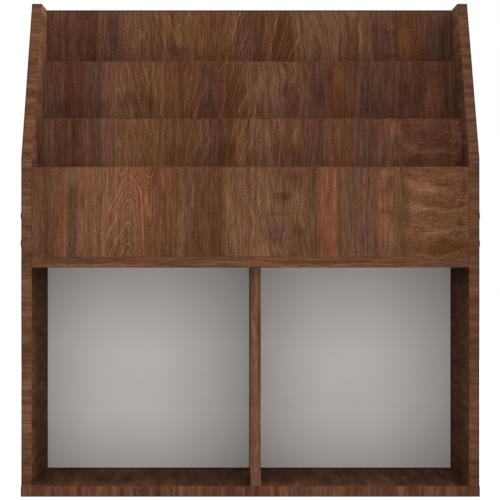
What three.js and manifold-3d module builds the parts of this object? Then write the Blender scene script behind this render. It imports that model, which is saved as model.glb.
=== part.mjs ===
// A kids book rack: two open cubbies below and three stepped book pockets above, made of walnut-faced boards
// held by screws and dowels, with a thin light-faced sheet behind the cubbies.
// Lengths are millimetres. +Z is up, +X is to the right of someone facing the rack, and the front faces -Y.
// The origin is on the floor, under the middle of the overall width and depth.

import * as THREE from "three";
import { mergeVertices } from "three/addons/utils/BufferGeometryUtils.js";
import Module from "manifold-3d";

const wasm = await Module();
wasm.setup();

// Boards and their joints
const boardThickness = 16;
const sheetThickness = 3;
const seamGap = 0.2; // between two pieces that meet face to face

// Widths
const caseWidth = 700; // over the two sides
const bottomOverhang = 0.75; // the bottom board stands out past each side
const sheetInset = 3; // the back sheet stops short of the case's edges

// Heights
const cubbyHeight = 334; // clear height of the cubbies
const pocketHeight = 138; // from each pocket's floor to the top of the panel in front of it
const secondPanelRise = 79.5; // each panel's top edge above the one in front
const thirdPanelRise = 98.2;
const backBoardRise = 91.3;
const sideLip = 13; // the sides stay square this far above the front panel, and slope from there

// Depths
const frontPocketDepth = 86; // clear depth of each pocket, front to back
const middlePocketDepth = 85.5;
const rearPocketDepth = 61.5;
const slopeDepth = 184; // from the sides' front edges to the front of their level tops

// Connector screws: a countersunk head with a hex socket, a plain neck and a thread of this mean diameter
const screwLength = 50;
const screwHeadDiameter = 10;
const screwHeadRim = 0.8; // straight edge of the head
const screwHeadHeight = 2.4;
const screwNeckDiameter = 7;
const screwNeckLength = 10;
const screwThreadDiameter = 6.4;
const screwTipDiameter = 3;
const screwTipLength = 6;
const socketFlats = 4; // across the flats of the hex socket
const socketDepth = 3;
const headRecess = 0.3; // the head lies this far below the board's face

// Cover caps
const capOverlap = 1; // the cap's edge beyond the screw head, all round
const capRim = 0.4; // straight edge of the cap
const capCrown = 1.3; // height of the cap's middle
const capPegLength = 2.4;

// Dowels
const dowelDiameter = 8;
const dowelLength = 30;
const dowelChamfer = 0.8;
const dowelInSide = 10; // the length that sits in the side

// Clearances of the holes and cuts
const holeGap = 0.15; // all round a screw, a dowel or a cap's peg
const holeEndGap = 0.6; // past the end of a screw or dowel
const cutOverrun = 1; // how far a cut starts outside the face that it opens

// Facets of the round pieces
const screwFacets = 10;
const capFacets = 12;
const capRings = 3;
const hexFacets = 6;

// Where the fasteners go, as shares of the height of an upright board, or of the depth of a level one
const endFastenings = {
  front_panel: { screwShares: [0.15, 0.455], dowelShares: [] },
  second_panel: { screwShares: [0.72], dowelShares: [0.25] },
  third_panel: { screwShares: [0.75], dowelShares: [0.25] },
  back_board: { screwShares: [0.2, 0.8], dowelShares: [] },
  mid_shelf: { screwShares: [0.15, 0.85], dowelShares: [] },
  second_pocket_floor: { screwShares: [], dowelShares: [0.5] },
  third_pocket_floor: { screwShares: [], dowelShares: [0.5] },
};
const bottomScrewShares = [0.15, 0.85];

// Places that follow from the sizes above, from left to right, from the floor up and from front to back
const sideOuterX = caseWidth / 2;
const sideInnerX = sideOuterX - boardThickness;
const sideMiddleX = (sideOuterX + sideInnerX) / 2;
const panelEndX = sideInnerX - seamGap;
const dividerX = boardThickness / 2; // the divider's left face is on the middle of the width

const sideBottomZ = boardThickness + seamGap;
const midShelfZ = boardThickness + cubbyHeight;
const pocketFloorZ = midShelfZ + boardThickness;
const frontPanelTopZ = pocketFloorZ + pocketHeight;
const secondPanelTopZ = frontPanelTopZ + secondPanelRise;
const thirdPanelTopZ = secondPanelTopZ + thirdPanelRise;
const caseTopZ = thirdPanelTopZ + backBoardRise;
const slopeBottomZ = frontPanelTopZ + sideLip;
const secondFloorTopZ = secondPanelTopZ - pocketHeight;
const thirdFloorTopZ = thirdPanelTopZ - pocketHeight;

const sideDepth = 4 * boardThickness + frontPocketDepth + middlePocketDepth + rearPocketDepth;
const overallDepth = sideDepth + seamGap + sheetThickness;
const frontY = -overallDepth / 2;
const sideRearY = frontY + sideDepth;
const sheetFrontY = sideRearY + seamGap;
const frontPanelRearY = frontY + boardThickness;
const secondPanelY = frontPanelRearY + frontPocketDepth;
const secondPanelRearY = secondPanelY + boardThickness;
const thirdPanelY = secondPanelRearY + middlePocketDepth;
const thirdPanelRearY = thirdPanelY + boardThickness;
const backBoardY = thirdPanelRearY + rearPocketDepth;

// Each flat board as its lowest and highest corner
const span = (lowX, highX, lowY, highY, lowZ, highZ) => ({
  low: new THREE.Vector3(lowX, lowY, lowZ),
  high: new THREE.Vector3(highX, highY, highZ),
});
const betweenSides = (lowY, highY, lowZ, highZ) => span(-panelEndX, panelEndX, lowY, highY, lowZ, highZ);

const spans = {
  bottom_board: span(
    -sideOuterX - bottomOverhang,
    sideOuterX + bottomOverhang,
    frontY,
    sideRearY,
    0,
    boardThickness,
  ),
  divider: span(
    dividerX - boardThickness / 2,
    dividerX + boardThickness / 2,
    frontY,
    sideRearY,
    sideBottomZ,
    midShelfZ - seamGap,
  ),
  mid_shelf: betweenSides(frontY, sideRearY, midShelfZ, pocketFloorZ),
  front_panel: betweenSides(frontY, frontPanelRearY, pocketFloorZ + seamGap, frontPanelTopZ),
  second_panel: betweenSides(secondPanelY, secondPanelRearY, pocketFloorZ + seamGap, secondPanelTopZ),
  third_panel: betweenSides(thirdPanelY, thirdPanelRearY, secondFloorTopZ - boardThickness, thirdPanelTopZ),
  back_board: betweenSides(backBoardY, sideRearY, pocketFloorZ + seamGap, caseTopZ),
  second_pocket_floor: betweenSides(
    secondPanelRearY + seamGap,
    thirdPanelY - seamGap,
    secondFloorTopZ - boardThickness,
    secondFloorTopZ,
  ),
  third_pocket_floor: betweenSides(
    thirdPanelRearY + seamGap,
    backBoardY - seamGap,
    thirdFloorTopZ - boardThickness,
    thirdFloorTopZ,
  ),
  back_sheet: span(
    -sideOuterX + sheetInset,
    sideOuterX - sheetInset,
    sheetFrontY,
    sheetFrontY + sheetThickness,
    sheetInset,
    pocketFloorZ - sheetInset,
  ),
};

const walnutLaminate = new THREE.MeshStandardMaterial({ color: 0x6b4836, roughness: 0.5, metalness: 0 });
const greyHardboard = new THREE.MeshStandardMaterial({ color: 0xaaa6a2, roughness: 0.7, metalness: 0 });
const zincSteel = new THREE.MeshStandardMaterial({ color: 0xb4b6ba, roughness: 0.35, metalness: 1 });
const brownPlastic = new THREE.MeshStandardMaterial({ color: 0x3a2418, roughness: 0.45, metalness: 0 });
const beechWood = new THREE.MeshStandardMaterial({ color: 0xd2b48c, roughness: 0.75, metalness: 0 });

// A solid from a closed geometry: doubled vertices are merged, and the empty triangles at a lathe's poles go.
function solidFrom(geometry) {
  const bare = geometry.clone();
  bare.deleteAttribute("normal");
  bare.deleteAttribute("uv");
  const merged = mergeVertices(bare);
  const corners = merged.index.array;
  const kept = [];
  for (let i = 0; i < corners.length; i += 3) {
    const [a, b, c] = corners.subarray(i, i + 3);
    if (a !== b && b !== c && c !== a) kept.push(a, b, c);
  }
  const mesh = new wasm.Mesh({
    numProp: 3,
    vertProperties: merged.attributes.position.array,
    triVerts: new Uint32Array(kept),
  });
  return new wasm.Manifold(mesh);
}

function geometryFrom(solid) {
  const { vertProperties, triVerts } = solid.getMesh();
  const geometry = new THREE.BufferGeometry();
  geometry.setAttribute("position", new THREE.BufferAttribute(vertProperties, 3));
  geometry.setIndex(new THREE.BufferAttribute(triVerts, 1));
  geometry.computeVertexNormals();
  return geometry;
}

// A closed round form about Y, from radius and height pairs that start and end on the axis, lowest first.
function turned(outline, facets) {
  const points = outline.map(([radius, height]) => new THREE.Vector2(radius, height));
  return new THREE.LatheGeometry(points, facets);
}

// A six-sided prism about Y between two heights.
function hexPrism(acrossFlats, lowY, highY) {
  const radius = acrossFlats / Math.sqrt(3);
  const prism = new THREE.CylinderGeometry(radius, radius, highY - lowY, hexFacets);
  return prism.translate(0, (lowY + highY) / 2, 0);
}

// The screw lies along Y with the top of its head at zero.
function screwGeometry() {
  const threadRadius = screwThreadDiameter / 2;
  const neckRadius = screwNeckDiameter / 2;
  const headRadius = screwHeadDiameter / 2;
  const neckY = -screwHeadHeight - screwNeckLength;
  const outline = [
    [0, -screwLength],
    [screwTipDiameter / 2, -screwLength],
    [threadRadius, screwTipLength - screwLength],
    [threadRadius, neckY],
    [neckRadius, neckY],
    [neckRadius, -screwHeadHeight],
    [headRadius, -screwHeadRim],
    [headRadius, 0],
    [0, 0],
  ];
  const socket = solidFrom(hexPrism(socketFlats, -socketDepth, cutOverrun));
  return geometryFrom(solidFrom(turned(outline, screwFacets)).subtract(socket));
}

// The screw's hole: countersunk and clear of the neck through the first board, and narrower in the second.
function screwHoleGeometry() {
  const bottomY = -screwLength - holeEndGap;
  const topY = headRecess + cutOverrun;
  const jointY = headRecess - boardThickness - seamGap / 2;
  const threadRadius = screwThreadDiameter / 2 + holeGap;
  const neckRadius = screwNeckDiameter / 2 + holeGap;
  const headRadius = screwHeadDiameter / 2 + holeGap;
  const outline = [
    [0, bottomY],
    [threadRadius, bottomY],
    [threadRadius, jointY],
    [neckRadius, jointY],
    [neckRadius, -screwHeadHeight],
    [headRadius, -screwHeadRim],
    [headRadius, topY],
    [0, topY],
  ];
  return turned(outline, screwFacets);
}

// A domed cap with its flat underside at zero and a six-sided peg below, which sits in the screw's socket.
function capGeometry() {
  const capRadius = screwHeadDiameter / 2 + capOverlap;
  const outline = [[0, 0]];
  outline.push([capRadius, 0]);
  for (let ring = 0; ring <= capRings; ring += 1) {
    const angle = (ring / capRings) * (Math.PI / 2);
    const radius = ring === capRings ? 0 : capRadius * Math.cos(angle);
    outline.push([radius, capRim + (capCrown - capRim) * Math.sin(angle)]);
  }
  const peg = hexPrism(socketFlats - 2 * holeGap, -capPegLength, capRim);
  return geometryFrom(solidFrom(turned(outline, capFacets)).add(solidFrom(peg)));
}

// The dowel lies along Y, with zero where the side's inner face is and the side at positive heights.
function dowelOutline(gap, endGap) {
  const lowY = dowelInSide - dowelLength - endGap;
  const highY = dowelInSide + endGap;
  const radius = dowelDiameter / 2 + gap;
  return [
    [0, lowY],
    [radius - dowelChamfer, lowY],
    [radius, lowY + dowelChamfer],
    [radius, highY - dowelChamfer],
    [radius - dowelChamfer, highY],
    [0, highY],
  ];
}

function dowelGeometry() {
  return geometryFrom(solidFrom(turned(dowelOutline(0, 0), screwFacets)));
}

function dowelHoleGeometry() {
  return turned(dowelOutline(holeGap, holeEndGap), screwFacets);
}

// Turns a form's +Y along the outward direction and moves its zero to a point.
function placement(at, outward) {
  const turn = new THREE.Quaternion().setFromUnitVectors(new THREE.Vector3(0, 1, 0), outward);
  return new THREE.Matrix4().compose(at, turn, new THREE.Vector3(1, 1, 1));
}

function meshOf(name, geometry, material) {
  const mesh = new THREE.Mesh(geometry, material);
  mesh.name = name;
  return mesh;
}

const screws = new THREE.Group();
const caps = new THREE.Group();
const dowels = new THREE.Group();
const boards = new THREE.Group();
const holes = [];

function drill(holeGeometry, matrix) {
  holes.push(solidFrom(holeGeometry.clone().applyMatrix4(matrix)));
}

// Drives a screw in at a point on a board's face, with its head just under that face.
function addScrew(name, face, outward) {
  const matrix = placement(face.clone().addScaledVector(outward, -headRecess), outward);
  const screw = meshOf(name, screwGeometry(), zincSteel);
  screw.applyMatrix4(matrix);
  screws.add(screw);
  drill(screwHoleGeometry(), matrix);
}

function addCap(name, face, outward) {
  const cap = meshOf(name, capGeometry(), brownPlastic);
  cap.applyMatrix4(placement(face.clone().addScaledVector(outward, seamGap), outward));
  caps.add(cap);
}

function addDowel(name, face, outward) {
  const matrix = placement(face, outward);
  const dowel = meshOf(name, dowelGeometry(), beechWood);
  dowel.applyMatrix4(matrix);
  dowels.add(dowel);
  drill(dowelHoleGeometry(), matrix);
}

// A point of a board's end, at a share of its longer way and the middle of its thickness.
function endSpot(boardSpan, share) {
  const { low, high } = boardSpan;
  const middle = low.clone().add(high).divideScalar(2);
  const level = high.y - low.y > high.z - low.z;
  if (level) middle.y = THREE.MathUtils.lerp(low.y, high.y, share);
  else middle.z = THREE.MathUtils.lerp(low.z, high.z, share);
  return middle;
}

// Screws with caps, and dowels, from one side into the ends of the boards between the sides.
function addSideFasteners(sideName, sign) {
  const outward = new THREE.Vector3(sign, 0, 0);
  for (const [boardName, { screwShares, dowelShares }] of Object.entries(endFastenings)) {
    screwShares.forEach((share, index) => {
      const face = endSpot(spans[boardName], share).setX(sign * sideOuterX);
      addScrew(`${sideName}_${boardName}_screw_${index + 1}`, face, outward);
      addCap(`${sideName}_${boardName}_cap_${index + 1}`, face, outward);
    });
    dowelShares.forEach((share) => {
      const face = endSpot(spans[boardName], share).setX(sign * sideInnerX);
      addDowel(`${sideName}_${boardName}_dowel`, face, outward);
    });
  }
}

// Screws up through the bottom board into the two sides and the divider, and down into the divider's top.
function addUprightFasteners() {
  const down = new THREE.Vector3(0, 0, -1);
  const up = new THREE.Vector3(0, 0, 1);
  const feet = { side_left: -sideMiddleX, divider: dividerX, side_right: sideMiddleX };
  bottomScrewShares.forEach((share, index) => {
    const spot = endSpot(spans.mid_shelf, share);
    for (const [upright, x] of Object.entries(feet)) {
      addScrew(`${upright}_foot_screw_${index + 1}`, spot.clone().setX(x).setZ(0), down);
    }
    addScrew(`divider_top_screw_${index + 1}`, spot.clone().setX(dividerX).setZ(pocketFloorZ), up);
  });
}

// A solid with every hole that reaches it cut out, as a mesh placed at the middle of its own box.
function addBoard(name, geometry, material) {
  geometry.computeBoundingBox();
  const middle = geometry.boundingBox.getCenter(new THREE.Vector3());
  const drilled = holes.reduce((solid, hole) => solid.subtract(hole), solidFrom(geometry));
  const board = meshOf(name, geometryFrom(drilled).translate(-middle.x, -middle.y, -middle.z), material);
  board.position.copy(middle);
  boards.add(board);
}

function flatBoardGeometry({ low, high }) {
  const size = high.clone().sub(low);
  const middle = low.clone().add(high).divideScalar(2);
  return new THREE.BoxGeometry(size.x, size.y, size.z).translate(middle.x, middle.y, middle.z);
}

// A side's outline, seen from the right with depth across and height up, then its thickness along X.
function sideGeometry(leftX) {
  const outline = new THREE.Shape();
  outline.moveTo(frontY, sideBottomZ);
  outline.lineTo(sideRearY, sideBottomZ);
  outline.lineTo(sideRearY, caseTopZ);
  outline.lineTo(frontY + slopeDepth, caseTopZ);
  outline.lineTo(frontY, slopeBottomZ);
  outline.closePath();
  const plate = new THREE.ExtrudeGeometry(outline, { depth: boardThickness, bevelEnabled: false });
  const stand = new THREE.Matrix4().makeBasis(
    new THREE.Vector3(0, 1, 0),
    new THREE.Vector3(0, 0, 1),
    new THREE.Vector3(1, 0, 0),
  );
  return plate.applyMatrix4(stand).translate(leftX, 0, 0);
}

addSideFasteners("left", -1);
addSideFasteners("right", 1);
addUprightFasteners();

addBoard("side_left", sideGeometry(-sideOuterX), walnutLaminate);
addBoard("side_right", sideGeometry(sideInnerX), walnutLaminate);
for (const [name, boardSpan] of Object.entries(spans)) {
  const material = name === "back_sheet" ? greyHardboard : walnutLaminate;
  addBoard(name, flatBoardGeometry(boardSpan), material);
}

const bookRack = new THREE.Group();
bookRack.add(boards, screws, caps, dowels);

export default bookRack;
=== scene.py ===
"""A kids book rack of walnut-faced boards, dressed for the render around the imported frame.

Two open cubbies stand below three stepped book pockets. Lengths in this file are millimetres, and the
meshes are made in metres. +Z is up, +X is to the right of someone facing the rack, and the front faces
-Y.
"""
import math

import bpy
import numpy as np
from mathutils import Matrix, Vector
from mathutils.geometry import tessellate_polygon


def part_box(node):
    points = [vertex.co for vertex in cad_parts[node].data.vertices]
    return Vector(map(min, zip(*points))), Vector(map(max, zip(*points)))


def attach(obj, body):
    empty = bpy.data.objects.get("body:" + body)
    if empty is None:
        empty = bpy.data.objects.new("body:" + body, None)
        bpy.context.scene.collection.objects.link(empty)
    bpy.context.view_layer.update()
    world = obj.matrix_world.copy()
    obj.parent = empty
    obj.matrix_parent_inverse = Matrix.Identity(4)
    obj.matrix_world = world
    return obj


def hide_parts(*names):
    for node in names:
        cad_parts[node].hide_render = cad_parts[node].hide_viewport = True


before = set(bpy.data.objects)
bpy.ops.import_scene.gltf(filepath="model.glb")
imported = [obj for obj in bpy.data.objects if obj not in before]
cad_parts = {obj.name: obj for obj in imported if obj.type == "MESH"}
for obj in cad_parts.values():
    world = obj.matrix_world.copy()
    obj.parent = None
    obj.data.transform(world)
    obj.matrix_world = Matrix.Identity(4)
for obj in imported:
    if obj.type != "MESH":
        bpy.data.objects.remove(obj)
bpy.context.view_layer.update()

X, Y, Z = range(3)
MM = 0.001
QUARTER_TURN = math.pi / 2
FULL_TURN = 2 * math.pi
SHARP_ANGLE = math.radians(38)

# Boards
BOARD_THICKNESS = 16.0
BOARD_SEAM = 0.2
SLOPE_DEPTH = 184.0
SIDE_LIP = 13.0
BOARD_ARRIS = 0.6
BOARD_CORNER = 0.9
SHEET_ARRIS = 0.3
SHEET_CORNER = 1.5
ARRIS_STEPS = 3
CORNER_STEPS = 3
HOLE_FACETS = 24

# Connector screws, from the top of the head down
HOLE_GAP = 0.15
HOLE_END_GAP = 0.6
HEAD_RECESS = 0.3
HEAD_RADIUS = 5.0
HEAD_RIM = 0.8
HEAD_HEIGHT = 2.4
NECK_RADIUS = 3.5
NECK_END = 12.4
CORE_RADIUS = 2.6
CREST_RADIUS = 3.3
HOLE_RADIUS = 3.35
THREAD_PITCH = 3.0
THREAD_TAPER = 5.0
THREAD_STEPS = 8
THREAD_SHARPNESS = 1.6
SCREW_LENGTH = 50.0
SCREW_TIP_RADIUS = 1.5
SCREW_FACETS = 30
SOCKET_CORNER = 4 / math.sqrt(3)
SOCKET_DEPTH = 3.0

# Dowels, cover caps and the back sheet's nails
DOWEL_RADIUS = 4.0
DOWEL_LENGTH = 30.0
DOWEL_IN_SIDE = 10.0
DOWEL_CHAMFER = 1.6
FLUTE_COUNT = 16
FLUTE_DEPTH = 0.25
CAP_RADIUS = 6.0
CAP_CROWN = 1.5
CAP_RIM = 0.35
CAP_FACETS = 48
CAP_PEG_LENGTH = 2.4
CAP_PEG_CORNER = 3.7 / math.sqrt(3)
NAIL_HEAD_RADIUS = 2.2
NAIL_SHANK_RADIUS = 0.75
NAIL_LENGTH = 17.0
NAIL_FACETS = 20
NAIL_SINK = 0.5
NAIL_GAP = 0.05
NAILS_UP = 6
NAILS_ALONG = 8

FACE, BAND, CORE = range(3)


def strips(numbers):
    """Quads between neighbouring rings of a (rings, places) table of point numbers that closes on itself."""
    after = np.roll(numbers, -1, axis=1)
    return np.stack([numbers[:-1], numbers[1:], after[1:], after[:-1]], axis=-1)


class Shell:
    """Points and faces of one closed mesh, gathered patch by patch. Each face has a finish, which is a
    material slot, and each of its corners a normal and two pattern coordinates, across the grain and
    along it."""

    def __init__(self):
        self.points, self.count = [], 0
        self.faces, self.finish, self.pattern, self.normals = [], [], [], []

    def add_points(self, points):
        first = self.count
        self.points.append(points)
        self.count += len(points)
        return np.arange(first, self.count)

    def add_faces(self, faces, finish, pattern, normals):
        self.faces += faces.tolist()
        self.finish += [finish] * len(faces)
        corners = faces.size
        self.pattern.append(np.broadcast_to(pattern, faces.shape + (2,)).reshape(corners, 2))
        self.normals.append(np.broadcast_to(normals, faces.shape + (3,)).reshape(corners, 3))


class FlatFace:
    """A flat side of a board, with two axes of its own, the rims of its holes and the pattern on it."""

    def __init__(self, origin, first, second, rim, finish, pattern_at):
        self.origin, self.first, self.second = origin, first, second
        self.normal = np.cross(first, second)
        self.loops = [rim]
        self.finish, self.pattern_at = finish, pattern_at

    def spot(self, point):
        away = point - self.origin
        return np.stack([away @ self.first, away @ self.second], axis=-1)

    def place(self, across, up, depth):
        parts = across[..., None] * self.first, up[..., None] * self.second, depth[..., None] * self.normal
        return self.origin + parts[0] + parts[1] - parts[2]


def rounded_outline(corners, radius):
    """A loop round a convex outline: each corner is an arc C + R (cos a, sin a) that touches both edges,
    with a turning from one edge's outward normal to the next one's. Gives the points, their outward
    normals, and the length walked up to each point and then all the way round."""
    ahead = np.roll(corners, -1, axis=0) - corners
    ahead /= np.linalg.norm(ahead, axis=1, keepdims=True)
    leaving = np.column_stack([ahead[:, 1], -ahead[:, 0]])
    coming = np.roll(leaving, 1, axis=0)
    facing = (coming * leaving).sum(axis=1, keepdims=True)
    centres = corners - radius * (coming + leaving) / (1 + facing)
    start = np.arctan2(coming[:, 1], coming[:, 0])
    turn = (np.arctan2(leaving[:, 1], leaving[:, 0]) - start) % FULL_TURN
    angle = start[:, None] + turn[:, None] * np.linspace(0, 1, CORNER_STEPS + 1)
    normals = np.stack([np.cos(angle), np.sin(angle)], axis=-1)
    points = (centres[:, None] + radius * normals).reshape(-1, 2)
    steps = np.linalg.norm(np.roll(points, -1, axis=0) - points, axis=1)
    return points, normals.reshape(-1, 2), np.concatenate([[0], np.cumsum(steps)])


def fill(loops):
    """Triangles over a flat region, run counter-clockwise: the first loop of 2-D points is its rim and the
    others are its holes. They number the points of all the loops, taken one after another."""
    triangles = np.array(tessellate_polygon([[Vector((*spot, 0)) for spot in loop] for loop in loops]))
    first, second, third = (np.vstack(loops)[triangles[:, corner]] for corner in range(3))
    one, other = second - first, third - first
    backwards = one[:, 0] * other[:, 1] - one[:, 1] * other[:, 0] < 0
    triangles[backwards] = triangles[backwards][:, ::-1]
    return triangles


class Board:
    """A flat board with softened edges. Its own axes are p, q and t, the world's axes in turn, with t
    through the thickness. A ring of its skin is the outline drawn in by r (1 - sin b), at a depth of
    r (1 - cos b) under the nearer face, with b running over a quarter turn and r the arris."""

    def __init__(self, name, axis, edges, face_print, arris=BOARD_ARRIS, corner=BOARD_CORNER, outline=None):
        self.name, self.shell = name, Shell()
        self.order = [(axis + 1) % 3, (axis + 2) % 3, axis]
        low, high = (np.array(point)[self.order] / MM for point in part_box(name))
        if outline is None:
            outline = [(low[0], low[1]), (high[0], low[1]), (high[0], high[1]), (low[0], high[1])]
        loop, outward, walked = rounded_outline(np.array(outline, float), corner)

        angle = np.linspace(0, QUARTER_TURN, ARRIS_STEPS + 1)
        inset = arris * (1 - np.sin(angle))
        sink = arris * (1 - np.cos(angle))
        inset = np.concatenate([inset, inset[::-1]])
        level = np.concatenate([high[2] - sink, low[2] + sink[::-1]])
        lean = np.concatenate([np.cos(angle), -np.cos(angle[::-1])])
        spread = np.concatenate([np.sin(angle), np.sin(angle[::-1])])
        reach = np.concatenate([arris * angle, arris * angle + high[2] - low[2] + arris * (QUARTER_TURN - 2)])

        rings, places = len(level), len(loop)
        flat = loop - inset[:, None, None] * outward
        points = np.concatenate([flat, np.broadcast_to(level[:, None, None], (rings, places, 1))], axis=-1)
        numbers = self.shell.add_points(points.reshape(-1, 3)).reshape(rings, places)
        normals = np.concatenate([
            spread[:, None, None] * outward,
            np.broadcast_to(lean[:, None, None], (rings, places, 1)),
        ], axis=-1).reshape(-1, 3)

        pattern_at = self.face_pattern(face_print)
        self.faces = [
            FlatFace(np.array([0, 0, high[2]]), *np.eye(3)[[0, 1]], numbers[0], edges["high"], pattern_at),
            FlatFace(np.array([0, 0, low[2]]), *np.eye(3)[[1, 0]], numbers[-1], edges["low"], pattern_at),
        ]
        quads = strips(numbers)
        corners = walked[:-1], walked[:-1], walked[1:], walked[1:]
        depths = reach[:-1], reach[1:], reach[1:], reach[:-1]
        walk = np.broadcast_to(np.stack(corners, axis=-1), quads.shape)
        deep = np.broadcast_to(np.stack(depths, axis=-1)[:, None], quads.shape)
        pattern = np.stack([walk, deep], axis=-1)
        edge_of = np.arange(places) // (CORNER_STEPS + 1)
        for edge, (finish, grain) in enumerate(edges["round"]):
            chosen = np.tile(edge_of == edge, (rings - 1, 1))
            straight = edge * (CORNER_STEPS + 1) + CORNER_STEPS
            chosen[ARRIS_STEPS, straight] = False
            skin = quads[chosen]
            self.shell.add_faces(skin, BAND, self.edge_pattern(pattern[chosen], grain), normals[skin])
            self.add_edge_face(loop, straight, numbers, level, walked, finish, grain, reach)

    def face_pattern(self, face_print):
        """A call that gives the place in the print of a point on a face."""
        across, along, scale, centre, shift = face_print
        axes = self.order.index(across), self.order.index(along)

        def pattern_at(points):
            return ((points[..., axes] - np.array(centre)) * scale + np.array(shift)) * MM
        return pattern_at

    def edge_pattern(self, walk_and_reach, grain):
        """The place in the print from the walk round the board and the reach over its edge."""
        way, shift = grain
        ordered = walk_and_reach if way == "across" else walk_and_reach[..., ::-1]
        return (ordered + np.array([0, shift])) * MM

    def add_edge_face(self, loop, place, numbers, level, walked, finish, grain, reach):
        """The flat middle of one edge, kept as a face so that it can be bored."""
        after = (place + 1) % len(loop)
        way = loop[after] - loop[place]
        way = np.append(way / np.linalg.norm(way), 0)
        start = np.append(loop[place], 0)
        upper, lower = ARRIS_STEPS, ARRIS_STEPS + 1

        def pattern_at(points):
            walk = (points - start) @ way + walked[place]
            deep = reach[upper] + level[upper] - points[..., 2]
            return self.edge_pattern(np.stack([walk, deep], axis=-1), grain)

        rim = numbers[[upper, lower, lower, upper], [place, place, after, after]]
        self.faces.append(FlatFace(start, way, np.array([0.0, 0.0, 1.0]), rim, finish, pattern_at))

    def face_towards(self, outward):
        local = outward[self.order]
        return max(self.faces, key=lambda face: face.normal @ local)

    def bore(self, point, outward, depths, radii, through=False):
        """A round hole in the face that looks outward: ring i is the circle C + radii[i] (cos a, sin a), at
        depths[i] under the face. It opens in the far face, or ends in a drilled cone."""
        face = self.face_towards(outward)
        centre = face.spot(point[self.order])
        angle = np.linspace(0, FULL_TURN, HOLE_FACETS, endpoint=False)
        depths, radii = np.array(depths)[:, None], np.array(radii)[:, None]
        sides = centre[0] + radii * np.cos(angle), centre[1] + radii * np.sin(angle)
        points = face.place(*sides, depths + 0 * angle)
        numbers = self.shell.add_points(points.reshape(-1, 3)).reshape(len(depths), -1)
        walls = strips(numbers).reshape(-1, 4)
        middle = angle + math.pi / HOLE_FACETS
        inward = -np.cos(middle)[:, None] * face.first - np.sin(middle)[:, None] * face.second
        inward = np.tile(inward, (len(depths) - 1, 1))[:, None]
        self.shell.add_faces(walls, CORE, np.zeros(2), inward)
        face.loops.append(numbers[0])
        if through:
            self.face_towards(-outward).loops.append(numbers[-1])
            return
        tip = face.place(centre[:1], centre[1:], depths[-1] + radii[-1] / 3)
        last, tip_number = numbers[-1], self.shell.add_points(tip)
        cone = np.column_stack([last, np.roll(last, -1), np.repeat(tip_number, HOLE_FACETS)])
        self.shell.add_faces(cone, CORE, np.zeros(2), face.normal)

    def finished(self, materials, slot):
        """Fills the flat faces round their holes and makes the mesh."""
        points = np.vstack(self.shell.points)
        for face in self.faces:
            numbers = np.concatenate(face.loops)
            triangles = numbers[fill([face.spot(points[loop]) for loop in face.loops])]
            self.shell.add_faces(triangles, face.finish, face.pattern_at(points[triangles]), face.normal)
        back = np.argsort(self.order)
        normals = np.vstack(self.shell.normals)[:, back]
        piece = mesh_piece(f"{self.name}_finished", points[:, back], self.shell.faces, materials)
        mesh = piece.data
        mesh.polygons.foreach_set("material_index", self.shell.finish)
        mesh.uv_layers.new(name="grain").data.foreach_set("uv", np.vstack(self.shell.pattern).ravel())
        mesh.normals_split_custom_set(normals.tolist())
        settle(piece, slot, self.name)


def new_object(name, data):
    """An object in the scene, at the origin."""
    thing = bpy.data.objects.new(name, data)
    bpy.context.scene.collection.objects.link(thing)
    return thing


def mesh_piece(name, points, faces, materials):
    """An object at the origin from points in millimetres."""
    mesh = bpy.data.meshes.new(name)
    mesh.from_pydata((points * MM).tolist(), [], faces)
    mesh.polygons.foreach_set("use_smooth", np.ones(len(faces), bool))
    for material in materials:
        mesh.materials.append(material)
    return new_object(name, mesh)


def settle(piece, slot, *nodes):
    """The piece rides on the one body and stands for the nodes, if any. The slot is not used."""
    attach(piece, "root")
    if nodes:
        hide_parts(*nodes)


def turned_form(outer_end, rings, inner_end):
    """A round form about an axis from (height, radii) rings, listed from the outer end inwards. Point j of a
    ring is radii[j] (cos a, sin a), with a = 2 pi j / count. A point on the axis closes the form at the
    height of each end."""
    heights, radii = (np.array(part) for part in zip(*rings))
    count = radii.shape[1]
    angle = np.linspace(0, FULL_TURN, count, endpoint=False)
    skin = np.stack([radii * np.cos(angle), radii * np.sin(angle), heights[:, None] + 0 * radii], axis=-1)
    points = np.vstack([[0, 0, outer_end], skin.reshape(-1, 3), [0, 0, inner_end]])
    numbers = 1 + np.arange(radii.size).reshape(radii.shape)
    after = np.roll(numbers, -1, axis=1)
    outer_fan = np.column_stack([np.zeros(count, int), numbers[0], after[0]])
    inner_fan = np.column_stack([np.full(count, len(points) - 1), after[-1], numbers[-1]])
    return points, outer_fan.tolist() + strips(numbers).reshape(-1, 4).tolist() + inner_fan.tolist()


def stand(points, origin, outward):
    """Turns a form's own +Z to the outward direction and moves its zero to the origin."""
    first = np.roll(outward, 1)
    second = np.cross(outward, first)
    return origin + points @ np.array([first, second, outward])


# Boards: which world axis runs through the thickness, what covers each edge, and how the print lies on the
# faces. Edges run counter-clockwise round the outline, and each says which way its grain runs, along the
# edge or across it, and where in the print it starts. A print is (axis across the grain, axis along it,
# scale, a point of the board, the point of the print that lies there).

def banded(way, shift):
    return BAND, (way, shift)


RAW = CORE, ("along", 0)


def edge_table(*round_edges, high=FACE, low=FACE):
    return {"round": round_edges, "high": high, "low": low}


def box_of(node):
    return [np.array(point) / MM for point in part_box(node)]


def side_outline():
    """A side's outline in Y and Z, with its upper front slanted back from just above the front panel."""
    low, high = box_of("side_left")
    lip = box_of("front_panel")[1][Z] + SIDE_LIP
    return [
        (low[Y], low[Z]), (high[Y], low[Z]), (high[Y], high[Z]),
        (low[Y] + SLOPE_DEPTH, high[Z]), (low[Y], lip),
    ]


def side_edges(shift):
    return edge_table(
        RAW, banded("along", shift), banded("along", shift + 700),
        banded("across", shift + 60), banded("across", shift + 60),
    )


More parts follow.
